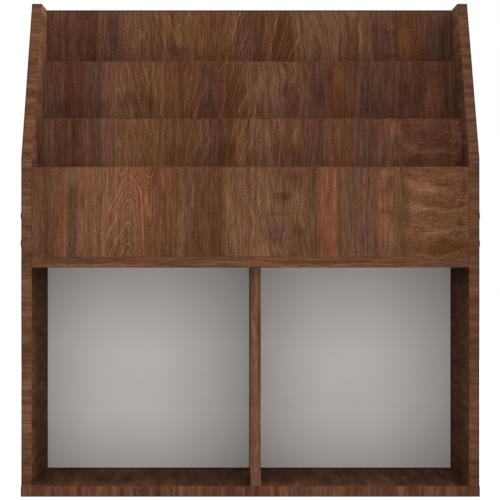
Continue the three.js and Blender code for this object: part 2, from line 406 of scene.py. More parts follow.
def panel_edges(shift):
    return edge_table(RAW, banded("along", shift), RAW, RAW)


boards = {board.name: board for board in (
    Board("side_left", X, side_edges(1100), (Z, Y, 1, (0, 0), (3400, 210)), outline=side_outline()),
    Board("side_right", X, side_edges(2300), (Z, Y, 1, (0, 0), (5200, -190)), outline=side_outline()),
    Board("bottom_board", Z, edge_table(
        banded("across", 3000), banded("across", 3100), banded("along", 4000), banded("across", 3200),
    ), (X, Y, 1, (0, 0), (600, 6100))),
    Board("mid_shelf", Z, edge_table(
        banded("along", 5000), RAW, banded("along", 6000), RAW,
    ), (Y, X, 1, (0, 0), (-620, 7300))),
    Board("divider", X, edge_table(
        RAW, banded("along", 7000), RAW, banded("along", 8000),
    ), (Y, Z, 1, (0, 0), (950, 8100))),
    Board("front_panel", Y, panel_edges(9000), (X, Z, 1, (0, 467.1), (0, 0))),
    Board("second_panel", Y, panel_edges(10000), (X, Z, 1, (0, 510.6), (0, 0))),
    Board("third_panel", Y, panel_edges(11000), (X, Z, 1, (-6, 603.4), (0, 136))),
    Board("back_board", Y, panel_edges(12000), (X, Z, 1 / 1.24, (79, 710.6), (0, 340))),
    Board("second_pocket_floor", Z, edge_table(*[RAW] * 4), (Y, X, 1, (0, 0), (300, 9400))),
    Board("third_pocket_floor", Z, edge_table(*[RAW] * 4), (Y, X, 1, (0, 0), (-400, 9900))),
    Board("back_sheet", Y, edge_table(
        *[banded("along", 0)] * 4, high=BAND,
    ), (X, Z, 1, (0, 0), (0, 0)), SHEET_ARRIS, SHEET_CORNER),
)}


# Fasteners: every screw, cap and dowel stands where its node is, and its holes are bored in the boards it
# joins.

AWAY = {
    "left": np.array([-1.0, 0, 0]),
    "right": np.array([1.0, 0, 0]),
    "foot": np.array([0, 0, -1.0]),
    "top": np.array([0, 0, 1.0]),
}


def fastener_facts(node):
    """The outward direction of a fastener, and the boards that it passes through and ends in."""
    words = node.split("_")
    end = next(index for index, word in enumerate(words) if word in ("screw", "cap", "dowel"))
    if words[0] in ("left", "right"):
        return AWAY[words[0]], f"side_{words[0]}", "_".join(words[1:end])
    way = words[end - 1]
    return AWAY[way], {"foot": "bottom_board", "top": "mid_shelf"}[way], "_".join(words[:end - 1])


def outer_end(node, outward):
    """The middle of the outward end of a fastener's box."""
    low, high = box_of(node)
    middle = (low + high) / 2
    return middle + outward * (np.abs(outward) @ (high - low)) / 2


def hexagon(corner_radius, count):
    """Radius of a hexagon at a = 2 pi j / count, with corners at multiples of 60 degrees:
    R cos 30 / cos((a mod 60) - 30)."""
    angle = np.linspace(0, FULL_TURN, count, endpoint=False)
    sixth = FULL_TURN / 6
    return corner_radius * math.cos(sixth / 2) / np.cos(angle % sixth - sixth / 2)


def screw_form():
    """A countersunk connector screw: rings down a hex socket, out over the head, down its cone and neck,
    and along a thread. The thread's radius is core + (crest - core) w^1.6, with w the triangle wave of
    depth / pitch - a / turn; it rises over the first pitch, and its end tapers."""
    socket = hexagon(SOCKET_CORNER, SCREW_FACETS)
    circle = np.ones(SCREW_FACETS)
    head = [
        (-SOCKET_DEPTH, 0.6 * socket), (-SOCKET_DEPTH, socket), (-0.3, socket), (0.0, 1.1 * socket),
        (0.0, 0.93 * HEAD_RADIUS * circle), (-0.12, 0.98 * HEAD_RADIUS * circle),
        (-0.35, HEAD_RADIUS * circle), (-HEAD_RIM, HEAD_RADIUS * circle),
        (-HEAD_HEIGHT, NECK_RADIUS * circle), (-NECK_END, NECK_RADIUS * circle),
        (-NECK_END - 0.5, CORE_RADIUS * circle),
    ]
    start, end = NECK_END + 0.8, SCREW_LENGTH - 0.6
    depth = np.linspace(start, end, int((end - start) / THREAD_PITCH * THREAD_STEPS))[:, None]
    turn = np.arange(SCREW_FACETS) / SCREW_FACETS
    wave = np.abs((depth / THREAD_PITCH - turn) % 1 - 0.5) * 2
    taper = np.clip((SCREW_LENGTH - depth) / THREAD_TAPER, 0, 1)
    rise = np.clip((depth - start) / THREAD_PITCH, 0, 1) * taper
    core = SCREW_TIP_RADIUS + (CORE_RADIUS - SCREW_TIP_RADIUS) * taper
    radii = core + (CREST_RADIUS - CORE_RADIUS) * rise * wave ** THREAD_SHARPNESS
    thread = list(zip(-depth[:, 0], radii))
    tip = [(-SCREW_LENGTH, 0.7 * SCREW_TIP_RADIUS * circle)]
    return turned_form(-SOCKET_DEPTH - 0.5, head + thread + tip, -SCREW_LENGTH)


def cap_form():
    """A cover cap: a dome h + (H - h) sqrt(1 - (r / R)^2) over a straight rim of height h, hollow
    underneath round a hex peg."""
    circle = np.ones(CAP_FACETS)
    angle = np.linspace(0, QUARTER_TURN, 9)[1:]
    dome = [(CAP_RIM + (CAP_CROWN - CAP_RIM) * math.cos(a), CAP_RADIUS * math.sin(a) * circle) for a in angle]
    peg = hexagon(CAP_PEG_CORNER, CAP_FACETS)
    under = [
        (0.1, CAP_RADIUS * circle), (0.0, (CAP_RADIUS - 0.15) * circle),
        (0.0, (CAP_RADIUS - 0.8) * circle), (0.3, (CAP_RADIUS - 1.1) * circle),
        (0.3, 1.1 * peg), (-CAP_PEG_LENGTH + 0.4, peg), (-CAP_PEG_LENGTH, 0.8 * peg),
    ]
    return turned_form(CAP_CROWN, dome + under, -CAP_PEG_LENGTH)


def dowel_form():
    """A fluted dowel: radius R - d (0.5 + 0.5 cos(n a))^3, drawn in at its two chamfered ends."""
    count = FLUTE_COUNT * 8
    angle = np.linspace(0, FULL_TURN, count, endpoint=False)
    flutes = DOWEL_RADIUS - FLUTE_DEPTH * (0.5 + 0.5 * np.cos(FLUTE_COUNT * angle)) ** 3
    depths = np.array([0, DOWEL_CHAMFER / 2, DOWEL_CHAMFER, DOWEL_LENGTH / 3])
    shares = np.array([0.8, 0.97, 1, 1])
    depths = np.concatenate([depths, DOWEL_LENGTH - depths[::-1]])
    shares = np.concatenate([shares, shares[::-1]])[:, None]
    return turned_form(0, zip(-depths, shares * flutes), -DOWEL_LENGTH)


def nail_form():
    """A small flat-headed nail: a low domed head, a shank and a point."""
    profile = [
        (-0.02, 0.7 * NAIL_HEAD_RADIUS), (-0.1, 0.95 * NAIL_HEAD_RADIUS), (-0.25, NAIL_HEAD_RADIUS),
        (-0.45, NAIL_HEAD_RADIUS), (-0.5, NAIL_SHANK_RADIUS), (-NAIL_LENGTH + 2, NAIL_SHANK_RADIUS),
        (-NAIL_LENGTH + 0.2, 0.2),
    ]
    circle = np.ones(NAIL_FACETS)
    return turned_form(0, [(height, radius * circle) for height, radius in profile], -NAIL_LENGTH)


# Materials

def paint(red, green, blue):
    """Screen values from 0 to 255 as a shader's linear colour."""
    screen = np.array([red, green, blue]) / 255
    linear = np.where(screen <= 0.04045, screen / 12.92, ((screen + 0.055) / 1.055) ** 2.4)
    return (*linear.tolist(), 1.0)


def shades(*colours):
    """Evenly spaced stops of a ramp from screen colours, the first at 0 and the last at 1."""
    return [(index / (len(colours) - 1), paint(*colour)) for index, colour in enumerate(colours)]


HAIR = 1e-6  # keeps a level line from dividing by zero


class Graph:
    """Adds nodes to one shader tree and links them. An input is a socket or a plain value."""

    def __init__(self, tree):
        self.tree = tree

    def feed(self, socket, value):
        if isinstance(value, bpy.types.NodeSocket):
            self.tree.links.new(value, socket)
        else:
            socket.default_value = value

    def node(self, kind, inputs=None, **settings):
        node = self.tree.nodes.new(f"ShaderNode{kind}")
        for name, value in settings.items():
            setattr(node, name, value)
        for key, value in (inputs or {}).items():
            self.feed(node.inputs[key], value)
        return node

    def math(self, operation, *operands):
        return self.node("Math", dict(enumerate(operands)), operation=operation).outputs[0]

    def times(self, value, gain, shift=0.0):
        return self.math("MULTIPLY_ADD", value, gain, shift)

    def total(self, *terms):
        result = terms[0]
        for term in terms[1:]:
            result = self.math("ADD", result, term)
        return result

    def noise(self, first, second, third, detail=2.0, roughness=0.5):
        """Noise with its middle moved to zero, over three plain or linked coordinates."""
        place = self.node("CombineXYZ", {0: first, 1: second, 2: third}).outputs[0]
        settings = {"Vector": place, "Scale": 1.0, "Detail": detail, "Roughness": roughness}
        return self.math("SUBTRACT", self.node("TexNoise", settings).outputs[0], 0.5)

    def field(self, across, along, width, length, seed, detail=1.0, roughness=0.5):
        """Noise over a face, drawn out to this width across it and this length along it."""
        spot = self.times(across, 1 / width), self.times(along, 1 / length)
        return self.noise(*spot, seed, detail, roughness)

    def between(self, value, low, high, start=0.0, end=1.0):
        """Runs smoothly from start to end while the value runs from low to high."""
        settings = {"Value": value, "From Min": low, "From Max": high, "To Min": start, "To Max": end}
        return self.node("MapRange", settings, interpolation_type="SMOOTHSTEP").outputs[0]

    def line(self, value, knots):
        """A smooth line through (position, height) knots, read at a value."""
        places, heights = np.array(knots, float).T
        low, high = heights.min(), heights.max() + HAIR
        share = (places - places[0]) / (places[-1] - places[0])
        level = (heights - low) / (high - low)
        settings = {"Value": value, "From Min": float(places[0]), "From Max": float(places[-1])}
        curve = self.node("FloatCurve", {"Value": self.node("MapRange", settings).outputs[0]})
        points = curve.mapping.curves[0].points
        points[0].location, points[1].location = (share[0], level[0]), (share[-1], level[-1])
        for spot in zip(share[1:-1].tolist(), level[1:-1].tolist()):
            points.new(*spot)
        for point in points:
            point.handle_type = "AUTO_CLAMPED"
        curve.mapping.update()
        return self.times(curve.outputs[0], float(high - low), float(low))

    def ramp(self, value, stops):
        node = self.node("ValToRGB", {0: value})
        elements = node.color_ramp.elements
        while len(elements) < len(stops):
            elements.new(0.5)
        for element, (position, colour) in zip(elements, stops):
            element.position, element.color = position, colour
        return node.outputs[0]

    def blend(self, share, first, second, way="MIX"):
        node = self.node("Mix", {0: share, 6: first, 7: second}, data_type="RGBA", blend_type=way)
        return node.outputs[2]


def shader_group(name, inputs, outputs):
    """An empty group with its sockets: the graph in it, its inputs, and a call that links its outputs."""
    tree = bpy.data.node_groups.new(name, "ShaderNodeTree")
    for label in inputs:
        tree.interface.new_socket(name=label, in_out="INPUT", socket_type="NodeSocketFloat")
    for label in outputs:
        kind = "NodeSocketColor" if label == "Colour" else "NodeSocketFloat"
        tree.interface.new_socket(name=label, in_out="OUTPUT", socket_type=kind)
    entry, way_out = tree.nodes.new("NodeGroupInput"), tree.nodes.new("NodeGroupOutput")
    graph = Graph(tree)

    def give(**results):
        for label, value in results.items():
            graph.feed(way_out.inputs[label], value)
    return graph, entry.outputs, give


def grain_drift():
    """Bends straight grain: the place across it moves by slow drift, by ripples where it is wavy and by
    swirls in burl, and the place along it moves by broad noise. Each swing is a noise times its reach in
    millimetres."""
    graph, given, give = shader_group(
        "grain_drift", ["Across", "Along", "Waviness", "Burl"], ["Across", "Along"])
    across, along, waviness, burl = (given[label] for label in ("Across", "Along", "Waviness", "Burl"))

    def swing(reach, width, length, seed):
        return graph.math("MULTIPLY", graph.field(across, along, width, length, seed, detail=1.5), reach)
    slow = swing(8.0, 140, 320, seed=1.3)
    middle = swing(graph.times(waviness, 9.0, 3.0), 34, 60, seed=4.1)
    ripple = swing(graph.times(waviness, 8.0), 26, 27, seed=7.7)
    swirl = swing(graph.times(burl, 11.0), 24, 17, seed=11.9)
    lift = swing(graph.times(burl, 20.0, 8.0), 34, 20, seed=15.2)
    give(Across=graph.total(across, slow, middle, ripple, swirl), Along=graph.total(along, lift))
    return graph.tree


BURL_RING = 6.0
LEAF_CONTRAST = 1.38
WALNUT_SHADES = (65, 31, 13), (85, 50, 31), (106, 69, 49), (127, 90, 70), (149, 112, 91)


def walnut_figure():
    """Walnut from its rings, a number that grows by one from ring to ring; burl adds along / 6, which lays
    its rings level. Streaks are noises drawn out along the rings, strands and fibres along the grain.
    Pale lines sit where the rings are whole, and their distance in millimetres is the ring distance over
    the ring slope. The tone picks a colour from the ramp of walnut shades, which is then scaled by 1.38 to
    the power of the leaf tone. Hue turns it orange or blue, and red turns it red or green. In burl, pale
    leaves are cooler and dark ones warmer."""
    graph, given, give = shader_group(
        "walnut_figure",
        ["Across", "Along", "Rings", "Ring Slope", "Burl", "Pale Lines", "Leaf Tone", "Leaf Hue", "Leaf Red"],
        ["Colour", "Roughness", "Height"])
    across, along, burl = given["Across"], given["Along"], given["Burl"]
    rings = graph.math("MULTIPLY_ADD", graph.times(along, 1 / BURL_RING), burl, given["Rings"])

    def field(place, *shape, **settings):
        return graph.field(place, along, *shape, **settings)

    def faded_in_burl(value, loss):
        return graph.math("MULTIPLY", value, graph.times(burl, -loss, 1.0))
    broad = field(rings, 3.0, 220.0, seed=2.2)
    streak = faded_in_burl(field(rings, 0.8, 70.0, seed=5.5, detail=2.0, roughness=0.6), 0.75)
    strand = faded_in_burl(field(across, 4.4, 140.0, seed=8.8), 0.8)
    fibre = faded_in_burl(field(across, 2.1, 30.0, seed=12.1, detail=1.5, roughness=0.6), 0.75)
    curl = graph.math("MULTIPLY", field(across, 13.0, 2.2, seed=14.6, detail=2.0, roughness=0.65), burl)
    speck = field(across, 1.9, 2.6, seed=15.9)
    mottle = field(across, 30.0, 32.0, seed=17.4, detail=2.0)
    pore_mark = graph.between(field(across, 0.42, 8.5, seed=21.6), 0.09, 0.17)
    tint = field(across, 9.0, 45.0, seed=27.3)
    wide_tint = field(rings, 4.5, 150.0, seed=29.8)

    def pale_line(spacing, half_width):
        spot = graph.math("FRACT", graph.times(rings, 1 / spacing, 0.5))
        away = graph.math("ABSOLUTE", graph.times(spot, spacing, -0.5 * spacing))
        distance = graph.math("DIVIDE", away, given["Ring Slope"])
        return graph.between(distance, 1.5 * half_width, 0.3 * half_width)
    broken = graph.between(field(rings, 1.1, 26.0, seed=31.7), -0.16, 0.06, 0.4, 1.0)
    pair = graph.total(graph.times(pale_line(1.0, 0.9), 0.75), graph.times(pale_line(3.0, 1.4), 0.75))
    lines = graph.math("MULTIPLY", graph.math("MULTIPLY", pair, broken), given["Pale Lines"])

    tone = graph.total(
        0.5, graph.times(broad, 0.28), graph.times(streak, 0.34), graph.times(strand, 0.42),
        graph.times(fibre, 0.70), graph.times(curl, 0.9), graph.times(speck, 0.56),
        graph.times(mottle, 0.09), graph.times(lines, 0.19), graph.times(pore_mark, -0.08))
    wood = graph.ramp(tone, shades(*WALNUT_SHADES))
    cooler = graph.math("MULTIPLY", given["Leaf Tone"], graph.times(burl, -0.8))
    hue = graph.total(given["Leaf Hue"], graph.times(broad, 1.2), graph.times(lines, 0.3), cooler)
    red = graph.total(given["Leaf Red"], graph.times(tint, 2.6), graph.times(wide_tint, 1.6), -0.12)
    shade = graph.math("POWER", LEAF_CONTRAST, given["Leaf Tone"])
    turn = graph.node("CombineXYZ", {
        0: graph.total(1.0, graph.times(hue, 0.06), graph.times(red, 0.03)),
        1: graph.total(1.0, graph.times(hue, -0.01), graph.times(red, -0.055)),
        2: graph.total(1.0, graph.times(hue, -0.14), graph.times(red, 0.03)),
    }).outputs[0]
    tinted = graph.node("VectorMath", {0: turn, "Scale": shade}, operation="SCALE").outputs[0]
    give(
        Colour=graph.blend(1.0, wood, tinted, "MULTIPLY"),
        Roughness=graph.total(0.72, graph.times(fibre, 0.10), graph.times(pore_mark, 0.12)),
        Height=graph.total(graph.times(fibre, 0.4), graph.times(strand, 0.3), graph.times(pore_mark, -0.6)))
    return graph.tree


# Where glue lines and painted shade show, in millimetres along the rack's axes: from the middle of its width
# and of its depth, and from the floor
BAND_GLUE = 347.9, 350.3
TOP_GLUE = 770.4, 772.8
GLUE_FADE, GLUE_CUT = 0.7, 0.2
INNER_WALL = 340.0
SHADE_TOP = 358.0
SHELF_UNDERSIDE = 350.0
SHEET_FACE = 147.0


def glue_line():
    """The dark line where an edge band ends, at the outer borders of the rack's uprights and of its top. It
    is 1 over a strip less than 2 mm wide, up to the line's end, and 0 on either side of it."""
    graph, given, give = shader_group("glue_line", ["Side", "Height"], ["Line"])

    def strip(value, start, end):
        begun = graph.between(value, start, start + GLUE_FADE)
        return graph.math("MULTIPLY", begun, graph.between(value, end + GLUE_CUT, end))
    side = strip(graph.math("ABSOLUTE", given["Side"]), *BAND_GLUE)
    give(Line=graph.math("MAXIMUM", side, strip(given["Height"], *TOP_GLUE)))
    return graph.tree


def painted_corner_shade():
    """Painted shade in the cubbies' far corners and under the shelf: it deepens over the last 52 mm before
    the back sheet, and further over the last 14 mm, and over the last 50 mm under the shelf. It is 0 on the
    outer faces and above the cubbies."""
    graph, given, give = shader_group("painted_corner_shade", ["Side", "Depth", "Height"], ["Dust"])
    side, depth, height = graph.math("ABSOLUTE", given["Side"]), given["Depth"], given["Height"]
    inside = graph.math(
        "MULTIPLY", graph.between(side, INNER_WALL + 2, INNER_WALL),
        graph.between(height, SHADE_TOP + 2, SHADE_TOP))
    below = graph.between(height, SHELF_UNDERSIDE - 50, SHELF_UNDERSIDE, 0.0, 0.6)
    under = graph.math("MULTIPLY", below, graph.between(height, SHELF_UNDERSIDE + 0.5, SHELF_UNDERSIDE))
    rear = graph.between(depth, SHEET_FACE - 52, SHEET_FACE, 0.0, 0.65)
    crease_shade = graph.between(depth, SHEET_FACE - 14, SHEET_FACE - 1, 0.0, 0.3)
    give(Dust=graph.math("MULTIPLY", inside, graph.math("MAXIMUM", graph.total(rear, crease_shade), under)))
    return graph.tree


DRIFT, FIGURE, GLUE, PAINTED_SHADE = grain_drift(), walnut_figure(), glue_line(), painted_corner_shade()
LEAST_STEEPNESS = 0.03


def ring_profile(slopes, anchor, step=5.0):
    """Rings counted across the grain: the running sum of (position, rings per mm) knots, in even steps,
    from the count at the anchor's position."""
    places, rates = np.array(slopes).T
    fine = np.arange(places[0], places[-1] + 0.5, 1.0)
    counted = np.concatenate([[0], np.cumsum(np.interp(fine[1:] - 0.5, places, rates))])
    counted += anchor[1] - np.interp(anchor[0], fine, counted)
    chosen = np.arange(places[0], places[-1] + step / 2, step)
    return np.column_stack([chosen, np.interp(chosen, fine, counted)])


def ring_steepness(slopes, rise):
    """The size of the rings' slope: the root of the summed squares of rings per mm across and along, and no
    less than the least steepness."""
    places = np.unique([place for place, _ in slopes + rise])
    across, along = (np.interp(places, *np.array(knots, float).T) for knots in (slopes, rise))
    return np.column_stack([places, np.maximum(np.hypot(across, along), LEAST_STEEPNESS)])


def new_material(name, roughness=0.5, **settings):
    """A material with its graph and its shader; plain values go on the shader's own sockets."""
    material = bpy.data.materials.new(name)
    material.use_nodes = True
    graph = Graph(material.node_tree)
    shader = material.node_tree.nodes["Principled BSDF"]
    shader.inputs["Roughness"].default_value = roughness
    for label, value in settings.items():
        shader.inputs[label.replace("_", " ")].default_value = value
    return material, graph, shader


def dress(graph, shader, colour, height, depth, roughness=None):
    """Feeds a shader its colour, a bump of the height with a depth in millimetres, and its roughness, where
    that varies."""
    graph.feed(shader.inputs["Base Color"], colour)
    if roughness is not None:
        graph.feed(shader.inputs["Roughness"], roughness)
    bump = graph.node("Bump", {"Height": height, "Distance": depth * MM})
    graph.feed(shader.inputs["Normal"], bump.outputs[0])


def print_place(graph):
    """The board's own pattern coordinates in millimetres: across the grain, and along it."""
    place = graph.node("UVMap", uv_map="grain").outputs[0]
    parts = graph.node("SeparateXYZ", {0: place}).outputs
    return graph.times(parts[0], 1 / MM), graph.times(parts[1], 1 / MM)


def object_place(graph, stretch=(1, 1, 1)):
    """The place on the rack in millimetres, divided by a stretch along each axis."""
    place = graph.node("TexCoord").outputs["Object"]
    parts = graph.node("SeparateXYZ", {0: place}).outputs
    return [graph.times(parts[axis], 1 / MM / stretch[axis]) for axis in range(3)]


LEAF = "tone", "hue", "red"
GLUE_BROWN = paint(44, 33, 28)
# The dark brown that the painted corner shade blends towards
PAINTED_SHADE_BROWN = paint(30, 22, 18)
GLUE_SHARE = 0.6
WALNUT_GLOSS = 0.02
GRAIN_DEPTH = 0.06
BOARD_WIDE = 2000


def bend(graph, across, along, waviness, burl):
    """The place across the grain and along it, as the grain's drift has moved them."""
    given = {"Across": across, "Along": along, "Waviness": waviness, "Burl": burl}
    drift = graph.node("Group", given, node_tree=DRIFT)
    return drift.outputs["Across"], drift.outputs["Along"]


def marked(graph, across, along, marks, sums):
    """Adds soft oval marks to the leaf tone, hue and red. A mark's share falls smoothly from 1 to 0 while
    the distance from its middle, in its own half-widths and with a ragged edge, goes from 0.4 to 1.3. A
    mark with a half-width of BOARD_WIDE is a level band across the board, which evens its light."""
    ragged = [
        graph.times(graph.field(across, along, 13, 11, seed, detail=2.0), 9.0) for seed in (51.2, 57.9)
    ]
    place = graph.node("CombineXYZ", {
        0: graph.math("ADD", across, ragged[0]), 1: graph.math("ADD", along, ragged[1]),
    }).outputs[0]
    for x, z, wide, tall, *gains in marks:
        away = graph.node("VectorMath", {
            0: place, 1: (1 / wide, 1 / tall, 0), 2: (-x / wide, -z / tall, 0),
        }, operation="MULTIPLY_ADD").outputs[0]
        distance = graph.node("VectorMath", {0: away}, operation="LENGTH").outputs["Value"]
        share = graph.between(distance, 1.3, 0.4)
        sums = [
            graph.math("MULTIPLY_ADD", share, gain, given) if gain else given
            for gain, given in zip(gains, sums)
        ]
    return sums


def walnut(name, figure):
    """Walnut laminate from a table of one print's features, lines of knots across the grain and marks. The
    rings rise along the grain from the print's level, which makes its arches."""
    material, graph, shader = new_material(name, Specular_IOR_Level=WALNUT_GLOSS)
    across, along = print_place(graph)
    waviness, burl = (graph.line(across, figure[label]) for label in ("waviness", "burl"))
    bent_across, bent_along = bend(graph, across, along, waviness, burl)

    def read(knots):
        return graph.line(bent_across, knots)
    height = graph.times(bent_along, 1.0, -float(figure["level"]))
    rises = {"MAXIMUM": figure["rise above"], "MINIMUM": figure.get("rise below", figure["rise above"])}
    climbs = [
        graph.math("MULTIPLY", graph.math(part, height, 0.0), read(knots)) for part, knots in rises.items()
    ]
    counted = read(ring_profile(figure["rings"], figure["anchor"]))
    rings = graph.math("SUBTRACT", counted, graph.total(*climbs))
    leaf = marked(graph, bent_across, bent_along, figure["marks"], [read(figure[label]) for label in LEAF])
    finish_walnut(graph, shader, {
        "Across": bent_across, "Along": bent_along, "Burl": burl,
        "Rings": rings, "Ring Slope": read(ring_steepness(figure["rings"], figure["rise above"])),
        "Pale Lines": read(figure["pale"]), "Leaf Tone": leaf[0], "Leaf Hue": leaf[1], "Leaf Red": leaf[2],
    })
    return material


def finish_walnut(graph, shader, given, banded_edge=False):
    """Puts the walnut figure on the shader, with the glue line along the rack's top. A banded edge also gets
    the glue lines at the rack's sides, and no painted shade; other faces get painted shade in the cubbies'
    far corners and under the shelf."""
    figure = graph.node("Group", given, node_tree=FIGURE)
    place = object_place(graph)
    glue = graph.node("Group", {"Side": place[X] if banded_edge else 0.0, "Height": place[Z]}, node_tree=GLUE)
    wood = graph.blend(graph.times(glue.outputs["Line"], GLUE_SHARE), figure.outputs["Colour"], GLUE_BROWN)
    if not banded_edge:
        # Painted shade: darkens the cubbies' far corners and the strip under the shelf
        painted_shade = graph.node("Group", {"Side": place[X], "Depth": place[Y], "Height": place[Z]}, node_tree=PAINTED_SHADE)
        wood = graph.blend(painted_shade.outputs["Dust"], wood, PAINTED_SHADE_BROWN)
    dress(graph, shader, wood, figure.outputs["Height"], GRAIN_DEPTH, figure.outputs["Roughness"])


def plain_walnut(
        name, ring_width, arch_size, swing, leaf_size, tone_gain, tone_shift=0.0, hue_shift=0.0,
        banded_edge=False, axis=Z, drawn=None):
    """Walnut with no placed features: its rings are across / width plus a broad noise that makes tall arches.
    Lines drawn over one axis of the rack add to its leaves; on the sides and at the top of the divider's band
    they are painted light and shade."""
    material, graph, shader = new_material(name, Specular_IOR_Level=WALNUT_GLOSS)
    bent = bend(graph, *print_place(graph), waviness=0.25, burl=0.0)
    arch = graph.field(*bent, *arch_size, seed=41.3, detail=0.0)
    wide, tall = leaf_size
    leaves = {
        "Leaf Tone": graph.times(graph.field(*bent, wide, tall, seed=44.9), tone_gain, tone_shift),
        "Leaf Hue": graph.times(graph.field(*bent, 1.15 * wide, 0.9 * tall, seed=48.2), 2.5, hue_shift),
        "Leaf Red": graph.times(graph.field(*bent, 0.85 * wide, 0.7 * tall, seed=52.6), 3.0),
    }
    for part, knots in (drawn or {}).items():
        leaves[part] = graph.math("ADD", leaves[part], graph.line(object_place(graph)[axis], knots))
    finish_walnut(graph, shader, {
        "Across": bent[0], "Along": bent[1], "Burl": 0.0,
        "Rings": graph.total(graph.times(bent[0], 1 / ring_width), graph.times(arch, swing)),
        "Ring Slope": 1 / ring_width, "Pale Lines": 0.3, **leaves,
    }, banded_edge)
    return material


